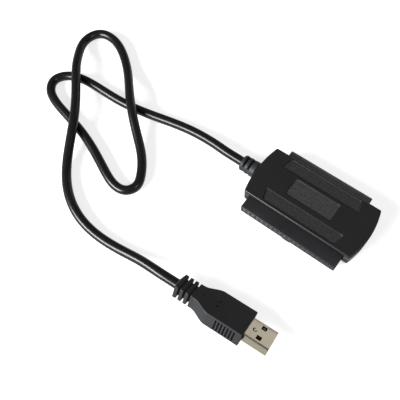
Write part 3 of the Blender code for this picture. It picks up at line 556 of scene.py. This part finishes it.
def border(grid):
    # Index order round a grid's edge
    return np.concatenate([grid[0, :-1], grid[:-1, -1], grid[-1, :0:-1], grid[:0:-1, 0]])


def caseLines():
    # Shares of the width and places along the case, crowded where the recesses' walls stand,
    # then turns of the corner arc and steps of the bend into the bowed ends
    label, panel = case["label"], case["panel"]
    reach = case["recessWall"] / 2 + 0.07
    fine = case["recessWall"] / 5
    corners = endPoints(case["headerBow"], case["topEdge"], np.array([0.0, 1.0]), np.array([1.0]))
    limit = corners[1][2]
    sides = [s * v for s in (-1, 1) for v in (panel["inner"], panel["outer"])]
    sides += [label["offset"] - label["halfWidth"], label["offset"] + label["halfWidth"]]
    rows = denseLines(-limit, limit, case["step"], sides, reach, fine)
    ends = [s * v for s in (-1, 1) for v in (label["halfLength"], panel["halfLength"])]
    columns = denseLines(-case["lastColumn"], case["lastColumn"], case["step"], ends, reach + 0.06, fine)
    return rows / limit, np.linspace(1 / 7, 1.0, 7), columns, np.array([0.25, 0.5, 0.72, 0.88, 1.0])


def ringAt(inset, height, lines):
    # The outline, drawn in by inset, at one height
    x, y = caseGrid(inset, *lines)
    index = border(np.arange(x.size).reshape(x.shape))
    return np.column_stack([x.ravel()[index], y.ravel()[index], np.full(len(index), height)])


def openings():
    # The ways out for both sockets, the serial header and the boot's neck
    shapes = [softBox(low, high, axis=axis, corner=0.1) for low, high, axis in case["openings"]]
    bore = case["neckBore"]
    turn = np.linspace(0, 2 * math.pi, bore["sides"], endpoint=False)
    y, z = bore["radius"] * np.cos(turn), midPlane + bore["radius"] * np.sin(turn)
    shapes.append(closedSkin([np.column_stack([np.full(bore["sides"], x), y, z]) for x in bore["ends"]]))
    return [("DIFFERENCE", *shape) for shape in shapes]


def seamLevels(level, toward, end):
    # (inset, height) over the seam's small chamfer, across the wall and to its inner end
    seam, wall = case["seam"], case["wall"]
    return [(0.0, level + toward * seam), (seam * 0.3, level + toward * seam * 0.3), (seam, level),
            (wall, level), (wall, end)]


def makeCaseTop():
    # The dipped top face, then rings down over the rounded edge, the wall and the inside of the roof
    lines = caseLines()
    edge = case["topEdge"]
    x, y = caseGrid(edge, *lines)
    z = case["height"] - case["recessDepth"] * recessDepthAt(x, y)
    points = [np.column_stack([x.ravel(), y.ravel(), z.ravel()])]
    index = np.arange(x.size).reshape(x.shape)
    faces = gridFaces(index).tolist()
    turn = np.linspace(0, math.pi / 2, 8)[1:]
    under = case["height"] - case["roof"]
    levels = [(edge * (1 - math.sin(a)), case["height"] - edge * (1 - math.cos(a))) for a in turn]
    levels += seamLevels(midPlane + case["gap"] / 2, 1, under)
    previous = border(index)
    start = x.size
    for inset, height in levels:
        ring = ringAt(inset, height, lines)
        points.append(ring)
        this = np.arange(start, start + len(ring))
        faces += gridFaces(np.stack([previous, this]), wrap=True).tolist()
        previous = this
        start += len(ring)
    points.append([(0.0, 0.0, under)])
    faces += fanFaces(previous, start).tolist()
    piece = makePiece("case_top", np.vstack(points), faces, sharp=30)
    tubes = pegs(case["posts"], midPlane + case["standOff"], under + 0.5, case["tube"])
    bores = pegs(case["posts"], midPlane + case["standOff"] - 0.3, under, case["bore"])
    return carve(piece, openings() + [("UNION", *tubes), ("DIFFERENCE", *bores)], sharp=30)


def markRecesses(piece):
    # 1 on the label's floor, a share of it on the panels' floors, 0 elsewhere
    place = np.empty(len(piece.data.vertices) * 3)
    piece.data.vertices.foreach_get("co", place)
    x, y, z = (place.reshape(-1, 3) / mm).T
    onFloor = recessDepthAt(x, y) * (z > case["height"] - case["recessDepth"] - 0.1) > 0.9
    share = np.where(np.abs(y) < case["labelReach"], 1.0, case["panelShare"])
    layer = piece.data.attributes.new("recess", "FLOAT", "POINT")
    layer.data.foreach_set("value", np.where(onFloor, share, 0.0).astype(np.float32))


def makeCaseFoot():
    # Rings up over the rounded foot and the wall, then in and down to the floor's inside
    lines = caseLines()
    foot = case["footEdge"]
    turn = np.linspace(0, math.pi / 2, 12)
    levels = [(foot * (1 - math.sin(a)), foot * (1 - math.cos(a))) for a in turn]
    levels += seamLevels(midPlane - case["gap"] / 2, -1, case["roof"])
    rings = [ringAt(inset, height, lines) for inset, height in levels]
    points, faces = closedSkin(rings, startPole=(0, 0, 0), endPole=(0, 0, case["roof"]))
    piece = makePiece("case_foot", points, faces, sharp=30)
    bosses = pegs(case["posts"], case["roof"] / 2, midPlane - case["standOff"], case["boss"])
    pinTop = case["height"] - case["roof"] - case["gap"]
    pins = pegs(case["posts"], case["roof"] * 0.66, pinTop, case["pin"])
    return carve(piece, openings() + [("UNION", *bosses), ("UNION", *pins)], sharp=30)


caseTop = makeCaseTop()
markRecesses(caseTop)
dress(caseTop, "case", "top_shell")
caseFoot = makeCaseFoot()
markRecesses(caseFoot)
dress(caseFoot, "case", "bottom_shell")
print("case", len(caseTop.data.vertices), len(caseFoot.data.vertices))


# drive sockets: soft-edged bars with a funnel at each pin hole, their solder tails, and on the
# 40-way one a key below and three small pips on top
sockets = {
    "socket_40": {"node": "ide_socket_40", "finish": "socket", "sign": -1, "columns": 20, "pitch": 2.54,
                  "half": (25.8, 2.54), "face": 21.3, "rear": 12.2,
                  "hole": 0.45, "mouth": 1.0, "funnel": 0.55, "tail": 0.3},
    # the 44-way socket takes the lighter finish above, which is painted light and not its own colour
    "socket_44": {"node": "ide_socket_44", "finish": "socketFarPaintedLight", "sign": 1, "columns": 22, "pitch": 2.0,
                  "half": (22.45, 2.0), "face": 18.5, "rear": 12.2,
                  "hole": 0.4, "mouth": 0.52, "funnel": 0.25, "tail": 0.25},
}
socketShape = {
    "edge": 0.55, "corner": 0.25, "depth": 3.0, "tailLength": 2.1, "tailThick": 0.3, "tailLevel": 1.05,
    # the key: half width, front, rear, how far below the body and how far into it, rounding
    "key": (2.15, -21.1, -14.6, 1.1, 0.6, 0.2),
    "pips": ((-21.28, -17.5), (-4.95, -17.5), (0.0, -18.4)), "pip": 0.35, "pipRoot": 0.2, "pipRise": 0.12,
}


def squareWells(centres, stations, sign):
    # Square wells along y: stations are (y, half width) from the mouth inwards
    cornerX, cornerZ = np.array([(-1, -1), (1, -1), (1, 1), (-1, 1)], float).T
    return joined([
        closedSkin([np.column_stack([x + cornerX * half, np.full(4, sign * y), z + cornerZ * half])
                    for y, half in stations])
        for x, z in centres
    ])


def makeSocket(name, look):
    # A soft box less its pin holes, in two rows of columns at one pitch
    sign, mouth = look["sign"], look["face"]
    halfX, halfZ = look["half"]
    low, high = sorted((sign * mouth, sign * look["rear"]))
    body = softBox((-halfX, low, midPlane - halfZ), (halfX, high, midPlane + halfZ), axis=1,
                   edge=socketShape["edge"], corner=socketShape["corner"])
    piece = makePiece(name, *body)
    places = [((i - (look["columns"] - 1) / 2) * look["pitch"], midPlane + row * look["pitch"] / 2)
              for i in range(look["columns"]) for row in (-1, 1)]
    stations = [(mouth + 0.2, look["mouth"]), (mouth, look["mouth"]),
                (mouth - look["funnel"], look["hole"]), (mouth - socketShape["depth"], look["hole"])]
    steps = [("DIFFERENCE", *squareWells(places, stations, sign))]
    if sign < 0:
        half, front, rear, below, into, ease = socketShape["key"]
        under, top = midPlane - halfZ, midPlane + halfZ
        key = softBox((-half, front, under - below), (half, rear, under + into), axis=1,
                      edge=ease, corner=ease)
        pips = pegs(socketShape["pips"], top - socketShape["pipRoot"], top + socketShape["pipRise"],
                    socketShape["pip"], sides=16)
        steps += [("UNION", *key), ("UNION", *pips)]
    carve(piece, steps)
    near = socketShape["tailLevel"]
    far = near + socketShape["tailThick"]
    y0, y1 = sorted((sign * (look["rear"] - 0.02), sign * (look["rear"] - socketShape["tailLength"])))
    tails = []
    for x, z in places:
        row = 1 if z > midPlane else -1
        z0, z1 = sorted((midPlane + row * near, midPlane + row * far))
        tails.append(softBox((x - look["tail"], y0, z0), (x + look["tail"], y1, z1), axis=1, corner=0.04,
                             steps=1))
    dress(makePiece(name + "_tails", *joined(tails)), "tin")
    return dress(piece, look["finish"], look["node"])


for name, look in sockets.items():
    makeSocket(name, look)
print("sockets")


# boot: a turned taper with two flat-bottomed slots above and two below, over a neck and a flange
boot = {
    "face": -30.9, "tip": -39.5, "faceRadius": 4.3, "tipRadius": 4.15, "round": 1.1, "edge": 0.25,
    "slots": (2.75, 5.55), "slotWidth": 1.1, "slotCore": 2.2, "slotEdge": 0.12,
    "dip": 0.25, "dipWidth": 0.6,         # the waists, whose width is a share of the slots'
    "neck": 2.7, "bore": 2.5, "boreDepth": 1.5, "sides": 96,
    # the flange: half width, half height, rear, front, its edge, and how square it is
    "flange": (4.5, 3.0, -28.8, -27.4, 0.15, 6.0),
}


def makeBoot():
    # Radius at x and angle: segments that bulge between two shallow waists, cut to a flat
    # wherever a slot's window is open
    turn = np.linspace(0, 2 * math.pi, boot["sides"], endpoint=False)
    width, ease = boot["slotWidth"], boot["slotEdge"]
    starts = [boot["face"] - s for s in boot["slots"]]
    edges = [e for s in starts for e in (s, s - width)]
    x = denseLines(boot["tip"] + boot["round"], boot["face"] - boot["edge"], 0.3, edges, 0.12, 0.03)[::-1]
    share = (boot["face"] - x) / (boot["face"] - boot["tip"])
    radius = boot["faceRadius"] + (boot["tipRadius"] - boot["faceRadius"]) * share
    waists = sum(np.exp(-((x - (s - width / 2)) / (boot["dipWidth"] * width)) ** 2) for s in starts)
    radius = radius - boot["dip"] * waists
    window = sum(smoothStep((s - x) / ease + 0.5) * smoothStep((x - s + width) / ease + 0.5)
                 for s in starts)
    flat = boot["slotCore"] / np.maximum(np.abs(np.sin(turn)), 1e-3)
    cut = radius[:, None] - np.minimum(radius[:, None], flat[None, :])
    reach = radius[:, None] - window[:, None] * cut
    rings = []

    def addRing(place, size):
        size = np.broadcast_to(size, turn.shape)
        y, z = size * np.cos(turn), midPlane + size * np.sin(turn)
        rings.append(np.column_stack([np.full(len(turn), place), y, z]))

    halfY, halfZ, rear, front, lip, power = boot["flange"]
    square = (np.abs(np.cos(turn) / halfY) ** power + np.abs(np.sin(turn) / halfZ) ** power) ** (-1 / power)
    addRing(front, square - lip)
    addRing(front - lip, square)
    addRing(rear + lip, square)
    addRing(rear, square - lip)
    addRing(rear, boot["neck"])
    addRing(boot["face"], boot["neck"])
    for angle in np.linspace(0, math.pi / 2, 5):
        addRing(boot["face"] - boot["edge"] * (1 - math.cos(angle)),
                boot["faceRadius"] - boot["edge"] * (1 - math.sin(angle)))
    for place, size in zip(x, reach):
        addRing(place, size)
    for angle in np.linspace(0, math.pi / 2, 9)[1:]:
        addRing(boot["tip"] + boot["round"] * (1 - math.sin(angle)),
                boot["tipRadius"] - boot["round"] * (1 - math.cos(angle)))
    addRing(boot["tip"] + 0.02, boot["bore"] + 0.06)
    addRing(boot["tip"] + 0.1, boot["bore"])
    addRing(boot["tip"] + boot["boreDepth"], boot["bore"])
    return makePiece("cord_boot_skin", *closedSkin(rings), sharp=40)


dress(makeBoot(), "boot", "cord_boot")
print("boot")


# plug grip: a rounded rectangle carried along the plug's axis, with rings, a waist, grooves and
# dimples, and a small nub at its front
grip = {
    "width": 17.0, "thick": 7.4, "length": 27.6, "straight": 16.8,
    "neck": 1.6, "neckWidth": 10.05, "neckThick": 7.0, "corner": 0.6, "frontEdge": 0.2,
    "rings": 3, "ringWidth": 1.65, "ringGap": 1.05, "core": 6.6, "coreThick": 5.4,
    "cone": 0.95, "coneEnd": 5.4, "coneCorner": 2.0,
    "grooves": 7, "groovePitch": 1.52, "grooveFront": 3.0, "grooveWidth": 0.68, "grooveEdge": 0.1,
    "grooveDepth": 1.2, "grooveExit": 0.3, "grooveTop": 2.7,
    "seamLevel": -0.5, "seamDepth": 0.12, "seamReach": 2.9,
    "dimples": [(-23.3, -0.1), (-15.8, 1.7), (-15.7, -1.7)],
    "dimpleShape": ((0.4, 0.56), (0.0, 0.54), (-0.4, 0.5), (-0.55, 0.38), (-0.6, 0.2)),
    # the pocket for the insert: half width, half height, corner, depth
    "pocket": (6.1, 2.35, 0.6, 7.3), "bore": 2.5, "boreDepth": 1.2,
    "nub": ((-0.4, -6.9, 0.2), (0.75, -6.15, 1.5)),
}


def gripSpread():
    # Extra places along the section's 4 sides, from -1 to 1 of each side's flat
    flatZ = grip["thick"] / 2 - grip["corner"]
    side = denseLines(-flatZ, flatZ, 0.45, [grip["seamLevel"], grip["grooveTop"]], 0.16, 0.04)
    side = side[1:-1] / flatZ
    even = np.linspace(-1, 1, 16)[1:-1]
    return side, even, -side[::-1], even


def grooveFronts():
    # Front edge of each groove along the plug's axis: the first, less i pitches
    return [-grip["grooveFront"] - i * grip["groovePitch"] for i in range(grip["grooves"])]


def gripSize(place):
    # Width and thickness along the grip: neck, flare and straight part
    flare = grip["length"] - grip["neck"] - grip["straight"]
    ease = float(smoothStep((place + grip["length"] - grip["neck"]) / flare))
    return (grip["neckWidth"] + (grip["width"] - grip["neckWidth"]) * ease,
            grip["neckThick"] + (grip["thick"] - grip["neckThick"]) * ease)


def gripRings():
    # Sections from the cord's bore over the cone, the rings and the flare to the front and its pocket
    spread = gripSpread()
    rear = -grip["length"] - grip["rings"] * (grip["ringGap"] + grip["ringWidth"]) - grip["cone"]

    def section(x, width, thick, corner):
        flat = roundedRect(width / 2, thick / 2, corner, 8, spread)
        return np.column_stack([np.full(len(flat), x), flat])

    edge = section(rear, grip["coneEnd"], grip["coneEnd"], grip["coneCorner"])
    turn = np.arctan2(edge[:, 2], edge[:, 1])

    def circle(x, radius):
        return np.column_stack([np.full(len(turn), x), radius * np.cos(turn), radius * np.sin(turn)])

    rings = [circle(rear + grip["boreDepth"], grip["bore"]), circle(rear + 0.05, grip["bore"]),
             circle(rear, grip["bore"] + 0.05), edge]

    def core(x):
        rings.append(section(x, grip["core"], grip["coreThick"], grip["corner"]))

    def disc(x, less=0.0):
        rings.append(section(x, grip["neckWidth"] - less, grip["neckThick"] - less, grip["corner"]))

    def discEdge(x, ahead):
        for less, step in ((0.3, 0.0), (0.1, 0.05), (0.0, 0.15))[::ahead]:
            disc(x + ahead * step, less)

    x = rear + grip["cone"]
    for i in range(grip["rings"]):
        if i > 0:
            core(x)
            discEdge(x, 1)
        else:
            disc(x)
        x += grip["ringWidth"]
        discEdge(x, -1)
        core(x)
        x += grip["ringGap"]
    core(x)
    discEdge(x, 1)
    edges = [place for front in grooveFronts() for place in (front, front - grip["grooveWidth"])]
    edges.append(-grip["seamReach"])
    lines = denseLines(-grip["length"] + 0.3, -grip["frontEdge"], 0.45, edges, 0.1, 0.04)
    lines = lines[np.concatenate([[True], np.diff(lines) > 0.02])]
    for place in lines:
        rings.append(section(place, *gripSize(place), grip["corner"]))
    for angle in np.linspace(0, math.pi / 2, 5)[1:]:
        less = 2 * grip["frontEdge"] * (1 - math.cos(angle))
        place = -grip["frontEdge"] * (1 - math.sin(angle))
        rings.append(section(place, grip["width"] - less, grip["thick"] - less, grip["corner"] - less / 4))
    halfY, halfZ, corner, deep = grip["pocket"]
    rings.append(section(0.0, 2 * halfY + 0.1, 2 * halfZ + 0.1, corner))
    rings.append(section(-0.06, 2 * halfY, 2 * halfZ, corner))
    rings.append(section(-deep, 2 * halfY, 2 * halfZ, corner))
    return np.array(rings)


def pressGrooves(skin):
    # Points outside a groove's floor move in to it, by the groove's window along x and its level in z;
    # the grooves are open at the lower edge
    x, y, z = skin[..., 0], skin[..., 1], skin[..., 2]
    edge = grip["grooveEdge"]
    pulse = np.zeros_like(x)
    for front in grooveFronts():
        rear = front - grip["grooveWidth"]
        pulse += smoothStep((front - x) / edge + 0.5) * smoothStep((x - rear) / edge + 0.5)
    level = smoothStep((grip["grooveTop"] - z) / 0.2 + 0.5)
    full = smoothStep((z + grip["thick"] / 2 - 0.3) / 0.9)
    floorY = grip["width"] / 2 - grip["grooveExit"] - (grip["grooveDepth"] - grip["grooveExit"]) * full
    sunk = np.sign(y) * np.minimum(np.abs(y), floorY)
    y += (sunk - y) * (np.clip(pulse, 0, 1) * level * (np.abs(y) > floorY))
    # the mould's parting line shows as a fine nick in front of the grooves
    nick = np.exp(-((z - grip["seamLevel"]) / 0.12) ** 2) * smoothStep((x + grip["seamReach"]) / 0.1 + 0.5)
    y -= np.sign(y) * grip["seamDepth"] * nick * (np.abs(y) > floorY)


def makeGrip():
    # The sections as one skin, with its grooves pressed in, less three plain dimples on top
    rings = gripRings()
    pressGrooves(rings[4:-3])
    piece = plugPiece("plug_grip", closedSkin(rings), sharp=40)
    turn = np.linspace(0, 2 * math.pi, 24, endpoint=False)
    wells = []
    for dx, dy in grip["dimples"]:
        top = gripSize(dx)[1] / 2
        wells.append(closedSkin([
            np.column_stack([dx + radius * np.cos(turn), dy + radius * np.sin(turn),
                             np.full(len(turn), top + height)])
            for height, radius in grip["dimpleShape"]
        ]))
    points, faces = joined(wells)
    return carve(piece, [("DIFFERENCE", plugToObject(points), faces)], sharp=40)


nubPiece = dress(plugPiece("plug_nub", softBox(*grip["nub"], axis=0, edge=0.15, corner=0.2)), "grip")
gripPiece = dress(makeGrip(), "grip", "plug_overmold")
print("grip", len(gripPiece.data.vertices))


# plug shell: a folded tube with two latch windows above and below and two stamped arcs, a black
# tongue inside, and a pressed metal catch under the far window
shell = {
    "width": 12.0, "height": 4.5, "reach": 12.0, "seat": 7.0, "wall": 0.3, "corner": 0.6, "lip": 0.12,
    "window": 1.2, "windowX": 6.1, "windowY": 3.2,
    # stamped arcs on top: middle, radius, half width, middle angle and half span in degrees, depth
    "arcs": (((2.95, -0.2), 0.8, 0.26, 225.0, 135.0, 0.5), ((2.5, -4.2), 0.5, 0.12, 200.0, 80.0, 0.08)),
    "tongue": ((-6.7, -5.4, -1.85), (11.2, 5.4, 0.05)), "catch": ((5.45, 3.05, -0.1), (6.75, 4.25, 1.8)),
}


def arcSlot(middle, radius, half, aim, span, depth):
    # Closed prism over a piece of a ring, from above the shell down to its depth
    angle = np.radians(np.linspace(aim - span, aim + span, 25))
    circle = np.column_stack([np.cos(angle), np.sin(angle)])
    ring = np.vstack([circle * (radius + half), (circle * (radius - half))[::-1]]) + middle
    top = shell["height"] / 2
    count = len(ring)
    points = np.vstack([np.column_stack([ring, np.full(count, z)]) for z in (top - depth, top + 0.3)])
    faces = gridFaces(np.arange(2 * count).reshape(2, count), wrap=True).tolist()
    # both caps are strips of quads between the outer and the inner arc
    for base in (0, count):
        faces += [[base + i, base + i + 1, base + count - 2 - i, base + count - 1 - i]
                  for i in range(len(angle) - 1)]
    return points, faces


def makeShell():
    # Rounded rectangles out along the plug's axis, round the lip and back along the inside, less
    # the windows and the arcs
    few = np.linspace(-1, 1, 6)[1:-1]

    def section(x, less):
        corner = max(shell["corner"] - less, 0.2)
        ring = roundedRect(shell["width"] / 2 - less, shell["height"] / 2 - less, corner, 6, [few] * 4)
        return np.column_stack([np.full(len(ring), x), ring])

    wall, lip, reach = shell["wall"], shell["lip"], shell["reach"]
    rings = [section(x, 0.0) for x in np.linspace(-shell["seat"], reach - lip, 20)]
    for angle in np.linspace(0, math.pi / 2, 4)[1:]:
        rings.append(section(reach - lip * (1 - math.sin(angle)), lip * (1 - math.cos(angle))))
    rings.append(section(reach, wall - 0.06))
    rings += [section(x, wall) for x in (reach - 0.08, -shell["seat"])]
    index = np.arange(len(rings) * len(rings[0])).reshape(len(rings), -1)
    faces = gridFaces(np.vstack([index, index[:1]]), wrap=True).tolist()
    piece = plugPiece("plug_tube", (np.vstack(rings), faces), sharp=40)
    half = shell["window"]
    cuts = [softBox((shell["windowX"] - half, y - half, -4), (shell["windowX"] + half, y + half, 4),
                    axis=2, corner=0.12) for y in (-shell["windowY"], shell["windowY"])]
    cuts += [arcSlot(*arc) for arc in shell["arcs"]]
    return carve(piece, [("DIFFERENCE", plugToObject(points), faces) for points, faces in cuts], sharp=40)


shellPiece = dress(makeShell(), "nickel", "plug_shell")
# the catch's dark khaki finish is painted shade, not the metal's own colour
catchPiece = dress(plugPiece("plug_catch", softBox(*shell["catch"], axis=2, edge=0.1, corner=0.2)), "catch")
tonguePiece = dress(plugPiece("plug_tongue", softBox(*shell["tongue"], axis=0, edge=0.15, corner=0.15)),
                    "insert", "plug_insert")
print("shell")


# serial header: the CAD solid's own form with its edges eased
def easedCopy(node, name, width):
    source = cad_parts[node]
    mesh = source.data.copy()
    mesh.name = name
    work = bmesh.new()
    work.from_mesh(mesh)
    bmesh.ops.remove_doubles(work, verts=work.verts, dist=1e-6)
    bmesh.ops.dissolve_limit(work, angle_limit=math.radians(1.0), verts=work.verts, edges=work.edges)
    work.to_mesh(mesh)
    work.free()
    piece = bpy.data.objects.new(name, mesh)
    bpy.context.scene.collection.objects.link(piece)
    ease = piece.modifiers.new("ease", "BEVEL")
    ease.width = width * mm
    ease.segments = 2
    ease.limit_method = "ANGLE"
    ease.angle_limit = math.radians(40)
    ease.use_clamp_overlap = True
    mesh.shade_smooth()
    mesh.set_sharp_from_angle(angle=math.radians(50))
    return piece


dress(easedCopy("sata_header", "serial_header", 0.12), "socket", "sata_header")
print("header")


# every other CAD solid keeps its shape and gets a finish
nodeFinish = {
    "circuit_board": "board", "controller_chip": "chip", "memory_chip": "chip",
    "voltage_regulator": "chip", "crystal": "can",
    "wire_red": "red", "wire_white": "white", "wire_green": "green", "wire_black": "black",
}
numbered = (("sata_contact_", "gold", 7), ("plug_contact_", "gold", 4), ("capacitor_", "ceramic", 6),
            ("resistor_", "resistor", 6), ("tantalum_capacitor_", "tantalum", 2))
for group, finish, count in numbered:
    nodeFinish.update({group + str(i + 1): finish for i in range(count)})
for node, finish in nodeFinish.items():
    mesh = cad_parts[node].data
    mesh.materials.clear()
    mesh.materials.append(finishes[finish])
print("solids dressed", len(nodeFinish))


# floor and light, in metres
stage = {
    "floorSize": 6.0, "floorHeight": -0.0003, "floorColour": (0.8, 0.8, 0.8, 1.0),
    "mirrored": 0.62,                               # how bright the floor looks in a reflection
    "glow": (0.72, 1.0), "glowReach": (0.35, 0.9),  # its own white for the camera, near and far off
    "worldLevel": 0.12, "worldBlue": 1.02,
    "aim": (-0.05, -0.02, 0.0),
    "lamps": {
        "key": {"place": (-0.30, -0.49, 0.30), "size": (0.46, 0.19), "power": 6.9},
        "side": {"place": (0.53, 0.03, 0.69), "size": (0.28, 0.28), "power": 0.9},
        "back": {"place": (0.03, 0.62, 0.17), "aim": (0.01, -0.066, 0.008), "size": (0.34, 0.26),
                 "power": 0.185},
    },
}


def floorFinish():
    # Plain pale skin that takes the lamps' light and shadow. The camera gets a white of its own under
    # that, and mirrored and transmitted rays a flat pale ground in its place
    finish = bpy.data.materials.new("floor")
    finish.use_nodes = True
    tree = finish.node_tree
    link = tree.links.new
    shader = tree.nodes["Principled BSDF"]
    shader.inputs["Base Color"].default_value = stage["floorColour"]
    shader.inputs["Roughness"].default_value = 0.9
    shader.inputs["Specular IOR Level"].default_value = 0.0
    path = inputNode(tree, "ShaderNodeLightPath", (-900, 300))
    ground = inputNode(tree, "ShaderNodeEmission", (-600, 100), Strength=stage["mirrored"])
    either = inputNode(tree, "ShaderNodeMath", (-600, 300), operation="MAXIMUM")
    blend = inputNode(tree, "ShaderNodeMixShader", (-300, 200))
    link(path.outputs["Is Glossy Ray"], either.inputs[0])
    link(path.outputs["Is Transmission Ray"], either.inputs[1])
    link(either.outputs["Value"], blend.inputs["Fac"])
    link(shader.outputs["BSDF"], blend.inputs[1])
    link(ground.outputs["Emission"], blend.inputs[2])
    ownPlace = inputNode(tree, "ShaderNodeTexCoord", (-1300, -200))
    away = inputNode(tree, "ShaderNodeVectorMath", (-1100, -200), operation="LENGTH")
    near, far = stage["glowReach"]
    level = inputNode(tree, "ShaderNodeMapRange", (-900, -200), From_Min=near, From_Max=far,
                      To_Min=stage["glow"][0], To_Max=stage["glow"][1])
    seen = inputNode(tree, "ShaderNodeMath", (-600, -200), operation="MULTIPLY")
    white = inputNode(tree, "ShaderNodeEmission", (-300, -200))
    total = inputNode(tree, "ShaderNodeAddShader", (0, 0))
    link(ownPlace.outputs["Object"], away.inputs[0])
    link(away.outputs["Value"], level.inputs["Value"])
    link(level.outputs["Result"], seen.inputs[0])
    link(path.outputs["Is Camera Ray"], seen.inputs[1])
    link(seen.outputs["Value"], white.inputs["Strength"])
    link(blend.outputs["Shader"], total.inputs[0])
    link(white.outputs["Emission"], total.inputs[1])
    link(total.outputs["Shader"], tree.nodes["Material Output"].inputs["Surface"])
    return finish


def makeFloor():
    # A square far wider than the view, just under the part
    size, z = stage["floorSize"], stage["floorHeight"]
    corners = [(-size, -size, z), (size, -size, z), (size, size, z), (-size, size, z)]
    mesh = bpy.data.meshes.new("floor")
    mesh.from_pydata(corners, [], [(0, 1, 2, 3)])
    floor = bpy.data.objects.new("floor", mesh)
    bpy.context.scene.collection.objects.link(floor)
    mesh.materials.append(floorFinish())


def makeLamps():
    # Soft boxes with a level upper edge, each turned to its aim
    for name, lamp in stage["lamps"].items():
        light = bpy.data.lights.new(name, "AREA")
        light.shape = "RECTANGLE"
        light.size, light.size_y = lamp["size"]
        light.energy = lamp["power"]
        item = bpy.data.objects.new(name, light)
        place = np.array(lamp["place"])
        toward = np.array(lamp.get("aim", stage["aim"])) - place
        toward /= np.linalg.norm(toward)
        level = np.cross(toward, (0.0, 0.0, 1.0))
        level /= np.linalg.norm(level)
        item.matrix_world = facing(level, np.cross(level, toward), toward, place)
        bpy.context.scene.collection.objects.link(item)


def makeWorld():
    # A dim even light all round, and white where the camera sees past the floor
    world = bpy.data.worlds.new("studio")
    world.use_nodes = True
    tree = world.node_tree
    link = tree.links.new
    sky = tree.nodes["Background"]
    level = stage["worldLevel"]
    sky.inputs["Color"].default_value = (level, level, level * stage["worldBlue"], 1.0)
    white = inputNode(tree, "ShaderNodeBackground", (0, -150), Color=(1.0, 1.0, 1.0, 1.0))
    path = inputNode(tree, "ShaderNodeLightPath", (0, 300))
    blend = inputNode(tree, "ShaderNodeMixShader", (250, 100))
    link(path.outputs["Is Camera Ray"], blend.inputs["Fac"])
    link(sky.outputs["Background"], blend.inputs[1])
    link(white.outputs["Background"], blend.inputs[2])
    link(blend.outputs["Shader"], tree.nodes["World Output"].inputs["Surface"])
    bpy.context.scene.world = world


makeFloor()
makeLamps()
makeWorld()
bpy.context.scene.view_settings.view_transform = "Standard"
print("stage set")
